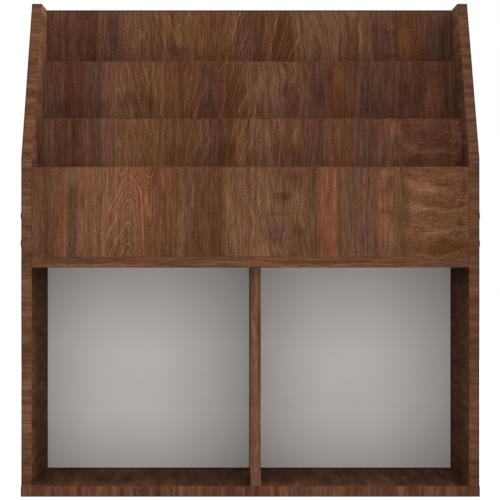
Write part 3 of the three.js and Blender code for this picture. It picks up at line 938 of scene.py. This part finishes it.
# The two prints, as (millimetres across the grain, value) knots. Rings are counted per mm across, and their
# rises, above and below the print's level, per mm along; EVEN_RISE is the same above and below. Burl is a
# share from 0 to 1, and waviness and pale may pass 1. Tone, hue and red are about -1 to 1: 0 is the middle
# brown, hue 1 is warm orange and -1 cool, and red 1 is pink and -1 olive. The anchor is a place and the
# count of rings there. A mark is (across, along, half-width, half-height, tone, hue, red).
EVEN_RISE = [
    (-98, 0.006), (-84, 0.045), (-50, 0.045), (-42, 0.01), (-4, 0.01), (6, 0.04), (34, 0.04), (44, 0.008),
    (352, 0.004),
]
FRONT_PRINT = {
    "level": 0, "anchor": (-186, 1.95),
    "rings": [
        (-352, 0.22), (-235, 0.22), (-224, 0.16), (-192, 0.16), (-187, 0.07), (-184, -0.06), (-180, -0.12),
        (-158, -0.12), (-154, 0.0), (-150, 0.16), (-138, 0.32), (-102, 0.24), (-96, 0.2), (-90, -0.2),
        (-48, -0.22), (-42, 0.2), (-12, 0.2), (0, -0.2), (40, -0.2), (48, 0.16), (84, 0.2), (228, 0.22),
        (240, 0.05), (352, 0.03),
    ],
    "rise above": [
        (-352, 0.003), (-206, 0.006), (-192, 0.08), (-150, 0.08), (-140, 0.02), (-134, 0.006), *EVEN_RISE,
    ],
    "rise below": [
        (-352, 0.003), (-240, 0.006), (-226, 0.06), (-214, 0.0875), (-185, 0.0875), (-174, 0.03),
        (-164, 0.008), *EVEN_RISE,
    ],
    "waviness": [
        (-352, 0.05), (-46, 0.05), (-38, 0.5), (2, 0.9), (20, 1.2), (36, 1.7), (84, 1.7), (98, 0.15),
        (225, 0.2), (240, 1), (352, 1),
    ],
    "burl": [(-352, 0), (226, 0), (242, 1), (322, 1), (336, 0.3), (352, 0.2)],
    "pale": [
        (-352, 0.15), (-258, 0.2), (-244, 0.4), (-220, 0.9), (-206, 1.25), (-146, 1.25), (-132, 0.6),
        (-100, 0.4), (-88, 0.3), (-48, 0.4), (-40, 0.8), (60, 0.6), (84, 0.4), (98, 0.15), (225, 0.2),
        (240, 0.2), (352, 0.2),
    ],
    "tone": [
        (-352, -0.4), (-330, -0.9), (-306, -0.7), (-294, 0.2), (-283, 0.2), (-278, -0.8), (-268, -0.9),
        (-262, 0.3), (-245, 0.2), (-215, 0.5), (-186, 0.4), (-160, 0.3), (-148, -0.7), (-136, -1.0),
        (-126, -0.9), (-112, -0.7), (-104, 0.0), (-97, -0.7), (-90, -0.3), (-86, -0.9), (-60, -1.1),
        (-46, -1.1), (-40, 0.1), (-20, 0.1), (20, 0.1), (34, -0.3), (60, -0.2), (88, -0.6), (101, -0.9),
        (109, 0.4), (128, 0.5), (136, 0.1), (142, -0.3), (180, -0.2), (200, 0.2), (218, -0.3), (226, -0.4),
        (232, -0.8), (240, -0.2), (262, 0.2), (284, -0.2), (300, -0.6), (330, -0.4), (352, -0.9),
    ],
    "hue": [
        (-352, 0.2), (-295, 0.2), (-286, 0.8), (-278, -1.2), (-268, -1.5), (-258, 0.0), (-220, 0.1),
        (-160, 0.6), (-130, 1.1), (-110, 0.7), (-98, -0.6), (-88, 0.4), (-60, 0.9), (-46, 0.7), (-36, 0.2),
        (-10, -0.2), (30, -0.2), (60, 0.0), (103, 0.1), (112, 1.2), (126, 1.1), (134, 0.2), (146, -0.2),
        (170, -0.8), (196, 0.0), (236, 0.05), (352, 0.05),
    ],
    "red": [
        (-352, 0.6), (-326, 0.7), (-302, 0.1), (-290, 0.6), (-281, 0.4), (-276, -0.9), (-266, -0.5),
        (-256, 0.2), (-232, 0.0), (-218, 0.4), (-196, 0.0), (-184, 0.3), (-166, 0.7), (-136, 0.8),
        (-122, 0.2), (-108, -0.2), (-100, 0.4), (-92, 0.4), (-84, 0.1), (-70, 0.4), (-50, 0.4), (-40, -0.3),
        (-20, -0.1), (-8, 0.3), (10, -0.3), (50, 0.0), (84, -0.3), (100, -0.1), (112, 0.4), (132, 0.6),
        (146, -0.4), (164, -0.4), (178, 0.1), (200, 0.1), (228, -0.2), (352, -0.2),
    ],
    "marks": [
        (0, -98, BOARD_WIDE, 24, -0.3, 0, 0), (-304, 0, 7, 200, -0.45, 0, 0), (-95, 0, 7, 200, 0, 0.4, 0),
        (-246, 22, 8, 30, 0.8, 0, 0.8), (-170, -70, 26, 30, -0.3, 0, -0.6),
        (-288, 25, 12, 30, -0.7, -0.3, -0.5), (-272, 30, 12, 26, 0.8, 0.4, 0.2),
        (-128, 22, 12, 24, 0.8, 0.2, 0.8), (-95, 10, 4, 40, -0.8, -0.6, 0.2),
        (49, -8, 18, 6, -1.0, -0.5, 0.7), (42, -66, 13, 21, -0.8, -0.7, 1.1),
        (44, -36, 14, 4, -0.6, 0, 0.4), (74, -60, 10, 12, -0.8, -0.4, -0.6), (62, 24, 20, 14, -0.6, 0, 0.3),
        (80, -24, 12, 30, 0.5, 0, 0), (20, -90, 26, 14, 0.7, 0.3, -0.3), (206, -16, 14, 12, 0.7, 0.1, 0.6),
        (208, 28, 13, 5, 1.0, 0, 0), (206, 1, 14, 2.5, -0.6, 0, 0), (206, -33, 14, 2.5, -0.6, 0, 0),
        (208, -62, 16, 28, 0.5, 0, 0), (180, -70, 14, 26, -0.6, -0.9, 0.9),
        (236, -66, 10, 16, 0.7, 0.6, -0.8), (258, 10, 24, 10, 1.0, 0.1, 0.4), (282, 2, 30, 5, 1.0, 0, 0.2),
        (300, 22, 26, 8, 0.8, 0.3, 0.4), (270, -16, 22, 9, -0.4, -0.2, -0.3),
        (256, -30, 18, 7, 1.1, 0.3, 0.2), (300, -31, 26, 4, 1.2, 0.2, 0.2),
        (322, -18, 8, 5, -1.4, -0.7, -0.3), (326, 8, 4, 20, -1.0, -0.8, 0.6),
        (320, -48, 9, 5, -1.6, -0.6, 0), (292, -56, 34, 9, 0.5, 0.4, 0.3), (285, -64, 30, 3, 1.2, 0.2, 0.3),
        (300, -86, 44, 14, -1.2, 0.6, -0.2), (250, -84, 16, 14, -0.6, 0.2, 0.2),
    ],
}

UPPER_PRINT = {
    "anchor": (-156, 0.41),
    "rings": [
        (-360, 0.22), (-262, 0.22), (-212, 0.18), (-203, -0.12), (-160, -0.12), (-157, -0.06), (-152, 0.30),
        (-136, 0.34), (-102, 0.26), (-98, 0.28), (-80, 0.22), (-66, 0.10), (-63, 0.24), (-42, 0.28),
        (-20, 0.22), (-4, 0.10), (0, 0.2), (47, -0.2), (96, 0.18), (222, 0.22), (236, 0.06), (360, 0.05),
    ],
    "rise above": [
        (-360, 0.003), (-212, 0.006), (-200, 0.037), (-150, 0.037), (-138, 0.02), (-126, 0.005),
        (-108, 0.006), (-92, 0.06), (-66, 0.06), (-60, 0.02), (-46, 0.02), (-36, 0.06), (-4, 0.06),
        (4, 0.01), (96, 0.006), (360, 0.003),
    ],
    "waviness": [
        (-360, 0.05), (-26, 0.1), (-8, 0.8), (30, 1.5), (92, 1.5), (104, 0.3), (122, 0.15), (228, 0.2),
        (240, 0.8), (360, 0.8),
    ],
    "burl": [(-360, 0), (222, 0), (244, 0.8), (330, 0.8), (344, 0.2), (360, 0.1)],
    "pale": [
        (-360, 0.15), (-222, 0.2), (-205, 0.8), (-135, 0.9), (-120, 0.4), (-104, 0.4), (-98, 1.2),
        (-70, 1.2), (-60, 0.2), (-44, 0.3), (-38, 1.2), (-6, 1.0), (60, 0.8), (98, 0.6), (106, 0.1),
        (222, 0.2), (240, 0.3), (360, 0.2),
    ],
    "tone": [
        (-360, -0.3), (-330, -0.1), (-316, -0.1), (-300, -0.6), (-282, -1.1), (-268, -1.3), (-261, -0.3),
        (-254, -0.4), (-248, -0.4), (-240, -0.6), (-230, 0.3), (-200, 0.5), (-178, 0.2), (-160, -0.1),
        (-138, -0.2), (-122, -0.5), (-112, -0.3), (-104, -0.8), (-98, -0.4), (-84, -0.6), (-68, -0.6),
        (-60, -0.7), (-44, -0.9), (-36, -0.9), (-20, -0.7), (-8, -0.4), (0, 0.2), (40, 0.5), (60, 0.0),
        (84, -0.1), (96, -0.1), (102, -0.5), (120, -0.6), (128, 0.1), (140, -0.1), (152, -0.6), (168, -0.6),
        (180, -0.4), (206, -0.6), (226, -0.3), (246, -0.6), (264, -0.4), (300, -0.2), (322, -0.5),
        (360, -0.8),
    ],
    "hue": [
        (-360, -0.8), (-292, -0.4), (-280, 0.5), (-266, 0.0), (-252, -0.3), (-244, -1.3), (-236, -1.3),
        (-226, -0.3), (-216, -0.5), (-200, 0.2), (-150, 0.7), (-110, 1.0), (-86, 0.8), (-72, 0.0),
        (-62, -0.3), (-44, 0.5), (-28, 1.1), (-12, 0.9), (0, 0.1), (52, -0.5), (80, 0.1), (100, -0.6),
        (116, -0.7), (128, 0.3), (140, 0.9), (154, 1.1), (164, 0.2), (174, -0.8), (205, -0.9), (230, -0.1),
        (276, 0.4), (312, 0.4), (360, -0.5),
    ],
    "red": [
        (-360, 0.0), (-310, 0.3), (-282, 0.7), (-266, 0.5), (-252, 0.5), (-242, -0.5), (-226, 0.3),
        (-206, -0.4), (-180, 0.1), (-150, -0.4), (-134, 0.0), (-112, 0.1), (-92, 0.2), (-70, 0.5),
        (-54, 0.6), (-36, 0.3), (-16, 0.4), (0, -0.3), (24, 0.0), (50, 0.1), (80, 0.1), (104, 0.4),
        (120, 0.4), (132, 0.1), (150, 0.3), (170, 0.5), (184, 0.1), (216, 0.1), (228, 0.4), (252, 0.5),
        (270, 0.3), (320, 0.1), (360, -0.3),
    ],
}

# The third panel and the back board lie beyond the burl.
BEYOND_BURL = {
    "burl": [(-360, 0), (360, 0)],
    "waviness": [
        (-360, 0.05), (-26, 0.1), (-8, 0.8), (30, 1.6), (92, 1.6), (104, 0.5), (122, 0.15), (360, 0.2),
    ],
}

# Each upper board shows its own stretch of the print: the level of that stretch, the marks on it, and its
# leaves. A leaf is a tall mark at that level: (across, half-width, half-height, tone, hue, red).
UPPER_STRETCHES = {
    "second_panel": (36, [
        (0, 0, BOARD_WIDE, 22, 0.35, 0, 0), (0, 74, BOARD_WIDE, 24, -0.2, 0, 0),
        (-72, 22, 6, 22, -0.2, -1.0, -1.2), (-40, 22, 14, 24, -0.7, 0, 0.8),
        (-285, 58, 8, 12, 0.4, 0.6, 1.2), (-150, 30, 14, 30, 0.2, 0.2, -0.4),
        (-330, 10, 22, 20, -0.5, -0.6, 0.6), (-120, 16, 14, 18, -0.4, 0, 0.6),
        (45, 20, 12, 30, -1.0, 0.6, 1.0), (12, 10, 16, 14, -0.6, -0.6, 0.8),
        (84, 10, 12, 14, -0.6, -0.6, 0.8), (226, 56, 14, 14, 0.8, 0.3, -0.4),
        (250, 26, 14, 14, 0.6, 1.0, 0.2), (290, 44, 28, 14, -0.4, -0.5, 1.2), (296, 22, 30, 4, 1.2, 0, 0.2),
        (330, 4, 10, 6, -2.2, -0.8, -0.4), (262, 6, 20, 10, -0.7, 0, 0.6),
    ], [
        (148, 14, 60, 0.2, 0, 0), (214, 12, 60, 0.8, 0, 0.4), (299, 8, 60, -0.6, 0, 0),
        (324, 9, 60, 1.0, -0.4, 0), (166, 11, 60, 0.5, -0.8, 0), (124, 6, 60, 0.4, 0, 0),
        (-16, 9, 60, 1.0, -0.5, -0.5), (-255, 6, 60, 0.6, 0, 0), (-292, 8, 60, -0.6, 0, 0),
        (-192, 8, 60, 0.4, 0, -0.2), (339, 8, 60, 1.1, -0.4, 0), (-305, 7, 60, -0.5, 0, 0),
        (-91, 6, 60, -0.4, 0, 0), (-60, 10, 60, 0, 0.3, 0.3), (22, 7, 60, -0.5, 0, 0),
        (60, 7, 60, -0.4, 0, 0.3), (91, 10, 60, -0.4, 0, 0), (174, 20, 60, 0.1, -0.5, 0),
        (272, 34, 60, 0, -0.45, -0.1), (312, 7, 60, -0.45, 0, 0),
    ]),
    "third_panel": (168, [
        (0, 124, BOARD_WIDE, 20, 0.25, 0, 0), (0, 214, BOARD_WIDE, 26, -0.2, 0, 0),
        (-158, 174, 4, 12, 0.9, 0, -1.6), (-156, 150, 10, 16, -0.6, 0.2, -0.2),
        (-196, 150, 12, 20, -0.6, -0.6, 1.0), (-230, 146, 14, 14, -0.2, -0.6, 1.4),
        (-76, 205, 4, 8, -0.4, -1.2, -1.0), (-52, 160, 12, 30, -0.5, -1.0, 0.4),
        (-300, 140, 16, 14, -0.7, -0.4, -0.6), (-320, 190, 14, 14, -0.3, 0, 0.8),
        (66, 170, 14, 12, -0.9, -0.4, 0.2), (126, 199, 11, 3, -1.0, -0.2, 0.2),
        (124, 143, 10, 3, -0.8, -0.2, 0.2), (122, 172, 22, 30, -0.4, -0.3, 0.5),
        (60, 136, 16, 10, -0.5, -0.8, 0.8), (200, 160, 20, 30, -0.6, 0, -0.2),
        (296, 150, 8, 20, 0.7, -0.2, 0.2), (310, 180, 10, 30, -0.3, 0.5, 0.5),
    ], [
        (-25, 10, 50, -1.0, 0.3, 0), (55, 10, 50, 0.6, -0.4, 0), (-48, 7, 50, 0.8, 0, 0),
        (-308, 10, 60, 0.0, -0.4, 0), (134, 9, 60, -0.4, -0.4, 0.2), (194, 12, 60, -0.8, 0, 0.3),
        (224, 8, 60, -0.5, 0, 0), (247, 20, 60, -0.3, -1.2, 0), (278, 20, 60, -1.3, 0, 0.4),
        (165, 9, 60, -0.3, 0.3, 0), (350, 9, 60, 1.2, -0.6, 0), (-178, 8, 60, -0.4, -0.5, 0),
        (-255, 7, 60, -0.5, 0, 0), (-200, 9, 60, -0.3, 0, -0.3), (-74, 7, 60, -0.45, 0, 0),
        (88, 10, 60, 0, -0.3, -0.3), (321, 11, 60, -0.6, 0, 0), (301, 8, 60, 0, -0.6, 0),
    ]),
    "back_board": (357, [
        (0, 326, BOARD_WIDE, 16, 0.15, 0, 0), (0, 390, BOARD_WIDE, 16, 0.15, 0, 0),
        (-158, 362, 5, 16, 0.8, 0, -1.6), (-158, 338, 18, 8, -0.7, -0.8, 1.2),
        (-245, 346, 8, 12, -0.8, -1.2, -0.6), (-320, 350, 20, 20, -0.5, 0, 0.5),
        (127, 361, 11, 3, -1.1, 0, 0.2), (127, 329, 9, 4, -1.2, -0.4, -0.4),
        (113, 348, 20, 24, -0.5, -0.6, 0.9), (146, 350, 8, 24, 0.3, 0.6, -0.4),
        (190, 350, 22, 24, -0.5, -0.4, -0.6),
    ], [
        (-14, 11, 50, -0.9, 0.3, 0.1), (156, 10, 50, -0.3, 0.1, 0.2), (26, 11, 50, -0.6, 0, 0),
        (73, 8, 50, -0.7, 0, 0.3), (-300, 16, 50, -0.5, 0, 0), (-97, 7, 50, -0.4, 0, 0),
        (-190, 10, 60, -0.3, -0.8, 0), (-126, 10, 50, 0.5, 0, 0), (135, 8, 50, -1.1, 0, 0),
        (191, 5, 50, -0.5, 0, 0), (215, 9, 60, 1.9, -2.0, 0),
    ]),
}


def chipboard_core():
    """Raw chipboard: flakes of pale and brown wood, seen only inside the holes and on hidden ends."""
    material, graph, shader = new_material("chipboard_core", 0.9)
    place = object_place(graph, (1.6, 1.6, 1.6))
    flakes = graph.node("TexVoronoi", {
        "Vector": graph.node("CombineXYZ", dict(enumerate(place))).outputs[0], "Scale": 1.0,
    }).outputs["Color"]
    share = graph.node("SeparateXYZ", {0: flakes}).outputs[0]
    colour = graph.ramp(share, shades((132, 100, 66), (176, 143, 102), (205, 178, 138)))
    dress(graph, shader, colour, share, 0.2)
    return material


def grey_lacquer():
    """The sheet's smooth grey face: a faint cloudiness, a fine orange-peel and a trace of roller lines, on a
    grey with painted shade that darkens it a little to the right."""
    material, graph, shader = new_material("grey_lacquer", 0.55)
    place = object_place(graph)
    cloud = graph.field(place[X], place[Z], 90, 70, seed=3.3, detail=2.0)
    rolled = graph.field(place[X], place[Z], 14, 260, seed=6.1, detail=2.0)
    peel = graph.field(place[X], place[Z], 1.3, 1.3, seed=9.2, detail=2.0)
    # Painted shade: the grey darkens a little towards the right
    painted_shade_right = graph.between(place[X], -60.0, 250.0, 0.0, -0.5)
    uneven = graph.total(graph.times(cloud, 0.7), graph.times(rolled, 0.3), graph.times(peel, 0.25))
    colour = graph.ramp(graph.total(0.5, uneven, painted_shade_right), shades((226, 222, 219), (238, 234, 231)))
    dress(graph, shader, colour, peel, 0.03, graph.times(peel, 0.2, 0.55))
    return material


def raw_hardboard():
    """The sheet's brown back and edges: felted fibre with darker specks and the press screen's fine mesh."""
    material, graph, shader = new_material("raw_hardboard", 0.85)
    place = object_place(graph)
    felt = graph.field(place[X], place[Z], 2.6, 2.1, seed=5.7, detail=3.0)
    broad = graph.field(place[X], place[Z], 60, 60, seed=2.4, detail=2.0)
    waves = [graph.math("SINE", graph.times(place[axis], FULL_TURN / 1.8)) for axis in (X, Z)]
    mesh = graph.math("MULTIPLY", *waves)
    speck = graph.between(graph.field(place[X], place[Z], 1 / 0.9, 1 / 0.9, seed=8.8), 0.14, 0.24)
    share = graph.total(0.5, graph.times(felt, 0.8), graph.times(broad, 0.5), graph.times(speck, -0.3))
    colour = graph.ramp(share, shades((84, 58, 38), (124, 90, 60), (158, 122, 86)))
    dress(graph, shader, colour, graph.total(mesh, graph.times(felt, 0.8)), 0.08)
    return material


def zinc_steel():
    """Zinc-plated steel: bright grey with cloudy patches of passivation and a fine grit."""
    material, graph, shader = new_material("zinc_steel", 0.35, Metallic=1.0)
    place = object_place(graph)
    cloud = graph.noise(*(graph.times(part, 1 / 4.0) for part in place), detail=2.0)
    grit = graph.noise(*(graph.times(part, 1 / 0.35) for part in place), detail=1.0)
    colour = graph.ramp(graph.times(cloud, 1.4, 0.5), shades((158, 160, 162), (205, 204, 196)))
    roughness = graph.total(0.33, graph.times(cloud, 0.25), graph.times(grit, 0.15))
    dress(graph, shader, colour, grit, 0.01, roughness)
    return material


def brown_plastic():
    """Moulded dark brown plastic with a fine leather-like texture."""
    material, graph, shader = new_material("brown_plastic", 0.5, Specular_IOR_Level=0.12)
    place = object_place(graph)
    cells = graph.node("TexVoronoi", {
        "Vector": graph.node("CombineXYZ", {0: place[Y], 1: place[Z], 2: place[X]}).outputs[0], "Scale": 1.8,
    }).outputs["Distance"]
    cloud = graph.noise(*(graph.times(part, 1 / 3.0) for part in place), detail=2.0)
    colour = graph.ramp(graph.times(cloud, 0.8, 0.5), shades((62, 39, 27), (84, 55, 39)))
    dress(graph, shader, colour, cells, 0.04, graph.times(cells, 0.15, 0.4))
    return material


def beech():
    """Beech turned along X: long straight grain with short dark rays."""
    material, graph, shader = new_material("beech", 0.7)
    place = object_place(graph, (24, 1.1, 1.1))
    grain = graph.noise(*place, detail=3.0)
    rays = graph.noise(*object_place(graph, (2.4, 0.35, 0.35)), detail=1.0)
    mark = graph.between(rays, 0.12, 0.2)
    share = graph.total(0.5, graph.times(grain, 1.1), graph.times(mark, -0.35))
    colour = graph.ramp(share, shades((172, 128, 86), (207, 168, 124), (226, 196, 158)))
    dress(graph, shader, colour, share, 0.05)
    return material


core = chipboard_core()
front_print = walnut("walnut_front_print", FRONT_PRINT)
upper_prints = {}
for name, (level, marks, leaves) in UPPER_STRETCHES.items():
    beyond = {} if name == "second_panel" else BEYOND_BURL
    stretch = {"level": level, "marks": marks + [(x, level, *leaf) for x, *leaf in leaves]}
    upper_prints[name] = walnut(f"walnut_{name}", {**UPPER_PRINT, **beyond, **stretch})

BOARD_GRAIN = {"ring_width": 6.0, "arch_size": (60.0, 300.0), "swing": 16.0, "tone_gain": 5.5}
BAND_GRAIN = {
    "ring_width": 3.4, "arch_size": (60.0, 160.0), "swing": 6.0, "leaf_size": (14.0, 160.0),
    "banded_edge": True,
}
plain_print = plain_walnut(
    "walnut_plain_print", ring_width=6.0, arch_size=(150.0, 520.0), swing=26.0, leaf_size=(26.0, 900.0),
    tone_gain=4.5, tone_shift=-0.4, hue_shift=0.6)
floor_print = plain_walnut(
    "walnut_floor_print", **BOARD_GRAIN, leaf_size=(20.0, 170.0), tone_shift=-0.3, hue_shift=0.6)

# Painted light and shade on the sides: the tone line below makes their print darker in the cubbies and paler
# towards the top, as if lit from above.
SIDE_PAINTED_LIGHT = [(0, -0.5), (330, -0.5), (420, 0.2), (560, 0.4), (680, 0.8), (773, 1.3)]
SIDE_HUE = [(0, 1.4), (350, 1.4), (470, -0.3), (773, -0.5)]
# The right side's print is set a shade darker than the left's: painted shade on the right upright.
side_prints = {
    name: plain_walnut(
        f"walnut_{name}", **BOARD_GRAIN, leaf_size=(11.0, 150.0), tone_shift=tone_shift,
        drawn={"Leaf Tone": SIDE_PAINTED_LIGHT, "Leaf Hue": SIDE_HUE})
    for name, tone_shift in {"side_left": 0.0, "side_right": -0.5}.items()
}

# Each of these boards has an edge band with paler and darker stretches of its own: the band's name, the
# axis of the rack that it runs along, its tone's gain and shift, and (millimetres along the axis, tone)
# knots.
BAND_STRETCHES = {
    "side_left": ("left", Z, 4.0, -0.4, [
        (0, -0.25), (35, -0.25), (120, 0.25), (215, -0.22), (295, 0.33), (377, -0.38), (426, 0.15),
        (475, -0.15), (540, 0.15), (773, 0.2),
    ]),
    # The right band is set darker than the left band: painted shade.
    "side_right": ("right", Z, 4.0, -1.0, [
        (0, -0.3), (35, -0.3), (133, 0.5), (222, -0.45), (328, 0.45), (377, -0.35), (426, 0.35),
        (475, -0.2), (540, 0.1), (773, 0.1),
    ]),
    "bottom_board": ("bottom", X, 4.6, -0.75, [
        (-352, 0.1), (-303, 0.1), (-236, 0.7), (-168, -0.35), (-101, 0.3), (-34, 0.05), (100, 0.5),
        (168, -0.1), (352, -0.12),
    ]),
    "mid_shelf": ("shelf", X, 4.0, -0.4, [
        (-334, -0.3), (-287, -0.3), (-187, 0.55), (-85, -0.35), (49, 0.5), (150, 0.0), (250, 0.55),
        (318, -0.2), (334, -0.2),
    ]),
}
# The divider band's tone over height; its paler top just under the shelf is painted light.
DIVIDER_TONE_AND_LIGHT = [
    (16, -0.1), (88, 0.1), (143, -0.1), (210, -0.75), (295, -0.38), (312, -0.35), (338, 0.8), (350, 0.8),
]
edge_band = plain_walnut("walnut_edge_band", **BAND_GRAIN, tone_gain=4.0, tone_shift=-0.4)
edge_bands = {
    board: plain_walnut(
        f"walnut_{name}_band", **BAND_GRAIN, tone_gain=gain, tone_shift=shift, axis=axis,
        drawn={"Leaf Tone": knots})
    for board, (name, axis, gain, shift, knots) in BAND_STRETCHES.items()
}
edge_bands["divider"] = plain_walnut(
    "walnut_divider_band", ring_width=5.0, arch_size=(24.0, 160.0), swing=6.0, leaf_size=(6.0, 300.0),
    tone_gain=4.0, tone_shift=0.5, hue_shift=-0.85, drawn={"Leaf Tone": DIVIDER_TONE_AND_LIGHT})
zinc, plastic, dowel_wood = zinc_steel(), brown_plastic(), beech()
sheet_finishes = [grey_lacquer(), raw_hardboard(), raw_hardboard()]


# Fasteners and their holes

forms = {"screw": screw_form(), "cap": cap_form(), "dowel": dowel_form()}
finishes = {
    "screw": (zinc, "screw_steel"), "cap": (plastic, "cap_plastic"), "dowel": (dowel_wood, "dowel_beech"),
}
second_depth = HEAD_RECESS + SCREW_LENGTH + HOLE_END_GAP - BOARD_THICKNESS - BOARD_SEAM
wide, snug = HEAD_RADIUS + HOLE_GAP, NECK_RADIUS + HOLE_GAP

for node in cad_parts:
    kind = next((word for word in node.split("_") if word in forms), None)
    if kind is None:
        continue
    outward, first_board, second_board = fastener_facts(node)
    points, faces = forms[kind]
    end = outer_end(node, outward)
    if kind == "cap":
        origin = end - outward * CAP_CROWN
    elif kind == "screw":
        origin = end
        depths = 0, HEAD_RECESS + HEAD_RIM, HEAD_RECESS + HEAD_HEIGHT, BOARD_THICKNESS
        boards[first_board].bore(end, outward, depths, (wide, wide, snug, snug), through=True)
        boards[second_board].bore(end, outward, (0, second_depth), (HOLE_RADIUS, HOLE_RADIUS))
    else:
        origin = end
        radii = (DOWEL_RADIUS + HOLE_GAP,) * 2
        boards[first_board].bore(end, -outward, (0, DOWEL_IN_SIDE + HOLE_END_GAP), radii)
        inside = DOWEL_LENGTH - DOWEL_IN_SIDE - BOARD_SEAM + HOLE_END_GAP
        boards[second_board].bore(end, outward, (0, inside), radii)
    finish, slot_name = finishes[kind]
    piece = mesh_piece(f"{node}_finished", stand(points, origin, outward), faces, [finish])
    piece.data.set_sharp_from_angle(angle=SHARP_ANGLE)
    settle(piece, slot_name, node)


# The back sheet's nails: along its edges into the sides, the bottom board and the mid shelf, and up the
# divider

sheet_rear = box_of("back_sheet")[1][Y]
uprights = [sum(box_of(name))[X] / 2 for name in ("side_left", "divider", "side_right")]
levels = [sum(box_of(name))[Z] / 2 for name in ("bottom_board", "mid_shelf")]
nail_spots = [(x, z) for x in uprights for z in np.linspace(levels[0], levels[1], NAILS_UP)[1:-1]]
nail_spots += [(x, z) for z in levels for x in np.linspace(uprights[0], uprights[-1], NAILS_ALONG)]
rearward = np.array([0, 1.0, 0])
nail_points, nail_faces = nail_form()
all_points, all_faces = [], []
for x, z in nail_spots:
    spot = np.array([x, sheet_rear, z])
    boards["back_sheet"].bore(spot, rearward, (0, NAIL_SINK), (NAIL_HEAD_RADIUS + NAIL_GAP,) * 2)
    first = len(all_points) * len(nail_points)
    all_points.append(stand(nail_points, spot, rearward))
    all_faces += [[first + corner for corner in face] for face in nail_faces]
nails = mesh_piece("back_sheet_nails", np.vstack(all_points), all_faces, [zinc])
nails.data.set_sharp_from_angle(angle=SHARP_ANGLE)
settle(nails, "screw_steel")


# Boards

walnut_prints = {"front_panel": front_print, "bottom_board": floor_print, **side_prints, **upper_prints}
for name, board in boards.items():
    if name == "back_sheet":
        board.finished(sheet_finishes, "grey_hardboard")
    else:
        finish = [walnut_prints.get(name, plain_print), edge_bands.get(name, edge_band), core]
        board.finished(finish, "walnut_laminate")


# Stage, light and camera

def seen_directly(graph):
    """1 for camera, glossy and transmission rays, and 0 for the rays that light the scene."""
    rays = graph.node("LightPath").outputs
    seen = graph.math("MAXIMUM", rays["Is Camera Ray"], rays["Is Glossy Ray"])
    return graph.math("MAXIMUM", seen, rays["Is Transmission Ray"])


FLOOR_HALF = 9.0
FLOOR_DROP = 0.0004
FLOOR_LIFT = 0.77
FLOOR_SEEN = 0.62
WORLD_LEVEL = 0.576
FLOOR_SHADES = (0.78, 0.775, 0.77, 1), (0.82, 0.815, 0.81, 1)

# The floor lies a hair under the rack and is clear from below, so the underside can be looked at. The camera
# sees it as a plain grey that glows, and the light falls on it as on pale paint.
floor_mesh = bpy.data.meshes.new("floor")
corners = [(x * FLOOR_HALF, y * FLOOR_HALF, -FLOOR_DROP) for x, y in ((-1, -1), (1, -1), (1, 1), (-1, 1))]
floor_mesh.from_pydata(corners, [], [(0, 1, 2, 3)])
floor = new_object("floor", floor_mesh)
floor.visible_shadow = False

floor_paint = bpy.data.materials.new("pale_floor")
floor_paint.use_nodes = True
floor_mesh.materials.append(floor_paint)
floor_paint.node_tree.nodes.clear()
graph = Graph(floor_paint.node_tree)
grain = graph.noise(*(graph.times(part, 1 / 400) for part in object_place(graph)), detail=2.0)
ground = graph.ramp(graph.times(grain, 0.5, 0.5), list(enumerate(FLOOR_SHADES)))
lit = graph.node("BsdfDiffuse", {"Color": ground}).outputs[0]
plain = graph.node("BsdfDiffuse", {"Color": (FLOOR_SEEN, FLOOR_SEEN, FLOOR_SEEN, 1)}).outputs[0]
glow = graph.node("Emission", {"Color": (1, 1, 1, 1), "Strength": FLOOR_LIFT}).outputs[0]
shown = graph.node("AddShader", {0: plain, 1: glow}).outputs[0]
mixed = graph.node("MixShader", {0: seen_directly(graph), 1: lit, 2: shown}).outputs[0]
clear = graph.node("BsdfTransparent").outputs[0]
below = graph.node("NewGeometry").outputs["Backfacing"]
one_sided = graph.node("MixShader", {0: below, 1: mixed, 2: clear}).outputs[0]
graph.node("OutputMaterial", {"Surface": one_sided})

world = bpy.data.worlds.new("studio")
bpy.context.scene.world = world
world.use_nodes = True
world.node_tree.nodes.clear()
graph = Graph(world.node_tree)
strength = graph.times(seen_directly(graph), 1 - WORLD_LEVEL, WORLD_LEVEL)
sky = graph.node("Background", {"Color": (1, 1, 1, 1), "Strength": strength}).outputs[0]
graph.node("OutputWorld", {"Surface": sky})


def softbox(name, place, target, size, watts):
    """A rectangular lamp, in metres and watts, that faces its target and isn't seen by the camera."""
    light = bpy.data.lights.new(name, "AREA")
    light.shape, light.size, light.size_y, light.energy = "RECTANGLE", size[0], size[1], watts
    lamp = new_object(name, light)
    lamp.location = place
    lamp.rotation_euler = (Vector(target) - Vector(place)).to_track_quat("-Z", "Y").to_euler()
    lamp.visible_camera = False


softbox("front_softbox", place=(0.22, -3.9, 0.5), target=(0, 0, 0.386), size=(3.3, 3.3), watts=65.5)
softbox("upper_softbox", place=(2.8, -0.3, 3.3), target=(0, 0, 0.5), size=(1.5, 1.5), watts=75.0)
softbox("rear_softbox", place=(-0.4, 3.9, 0.5), target=(0, 0, 0.386), size=(4.0, 4.0), watts=70.0)

CAMERA_PLACE = (-0.02375, -3.5931, 0.378)
LENS = 162.3
SENSOR_WIDTH = 36.0
SHIFT = (0.0304, -0.0014)

view = bpy.data.cameras.new("photograph_view")
view.lens, view.sensor_width, view.sensor_fit = LENS, SENSOR_WIDTH, "HORIZONTAL"
view.shift_x, view.shift_y = SHIFT
camera = new_object("photograph_view", view)
camera.location = CAMERA_PLACE
camera.rotation_euler = (QUARTER_TURN, 0, 0)
bpy.context.scene.camera = camera
bpy.context.scene.view_settings.view_transform = "Standard"
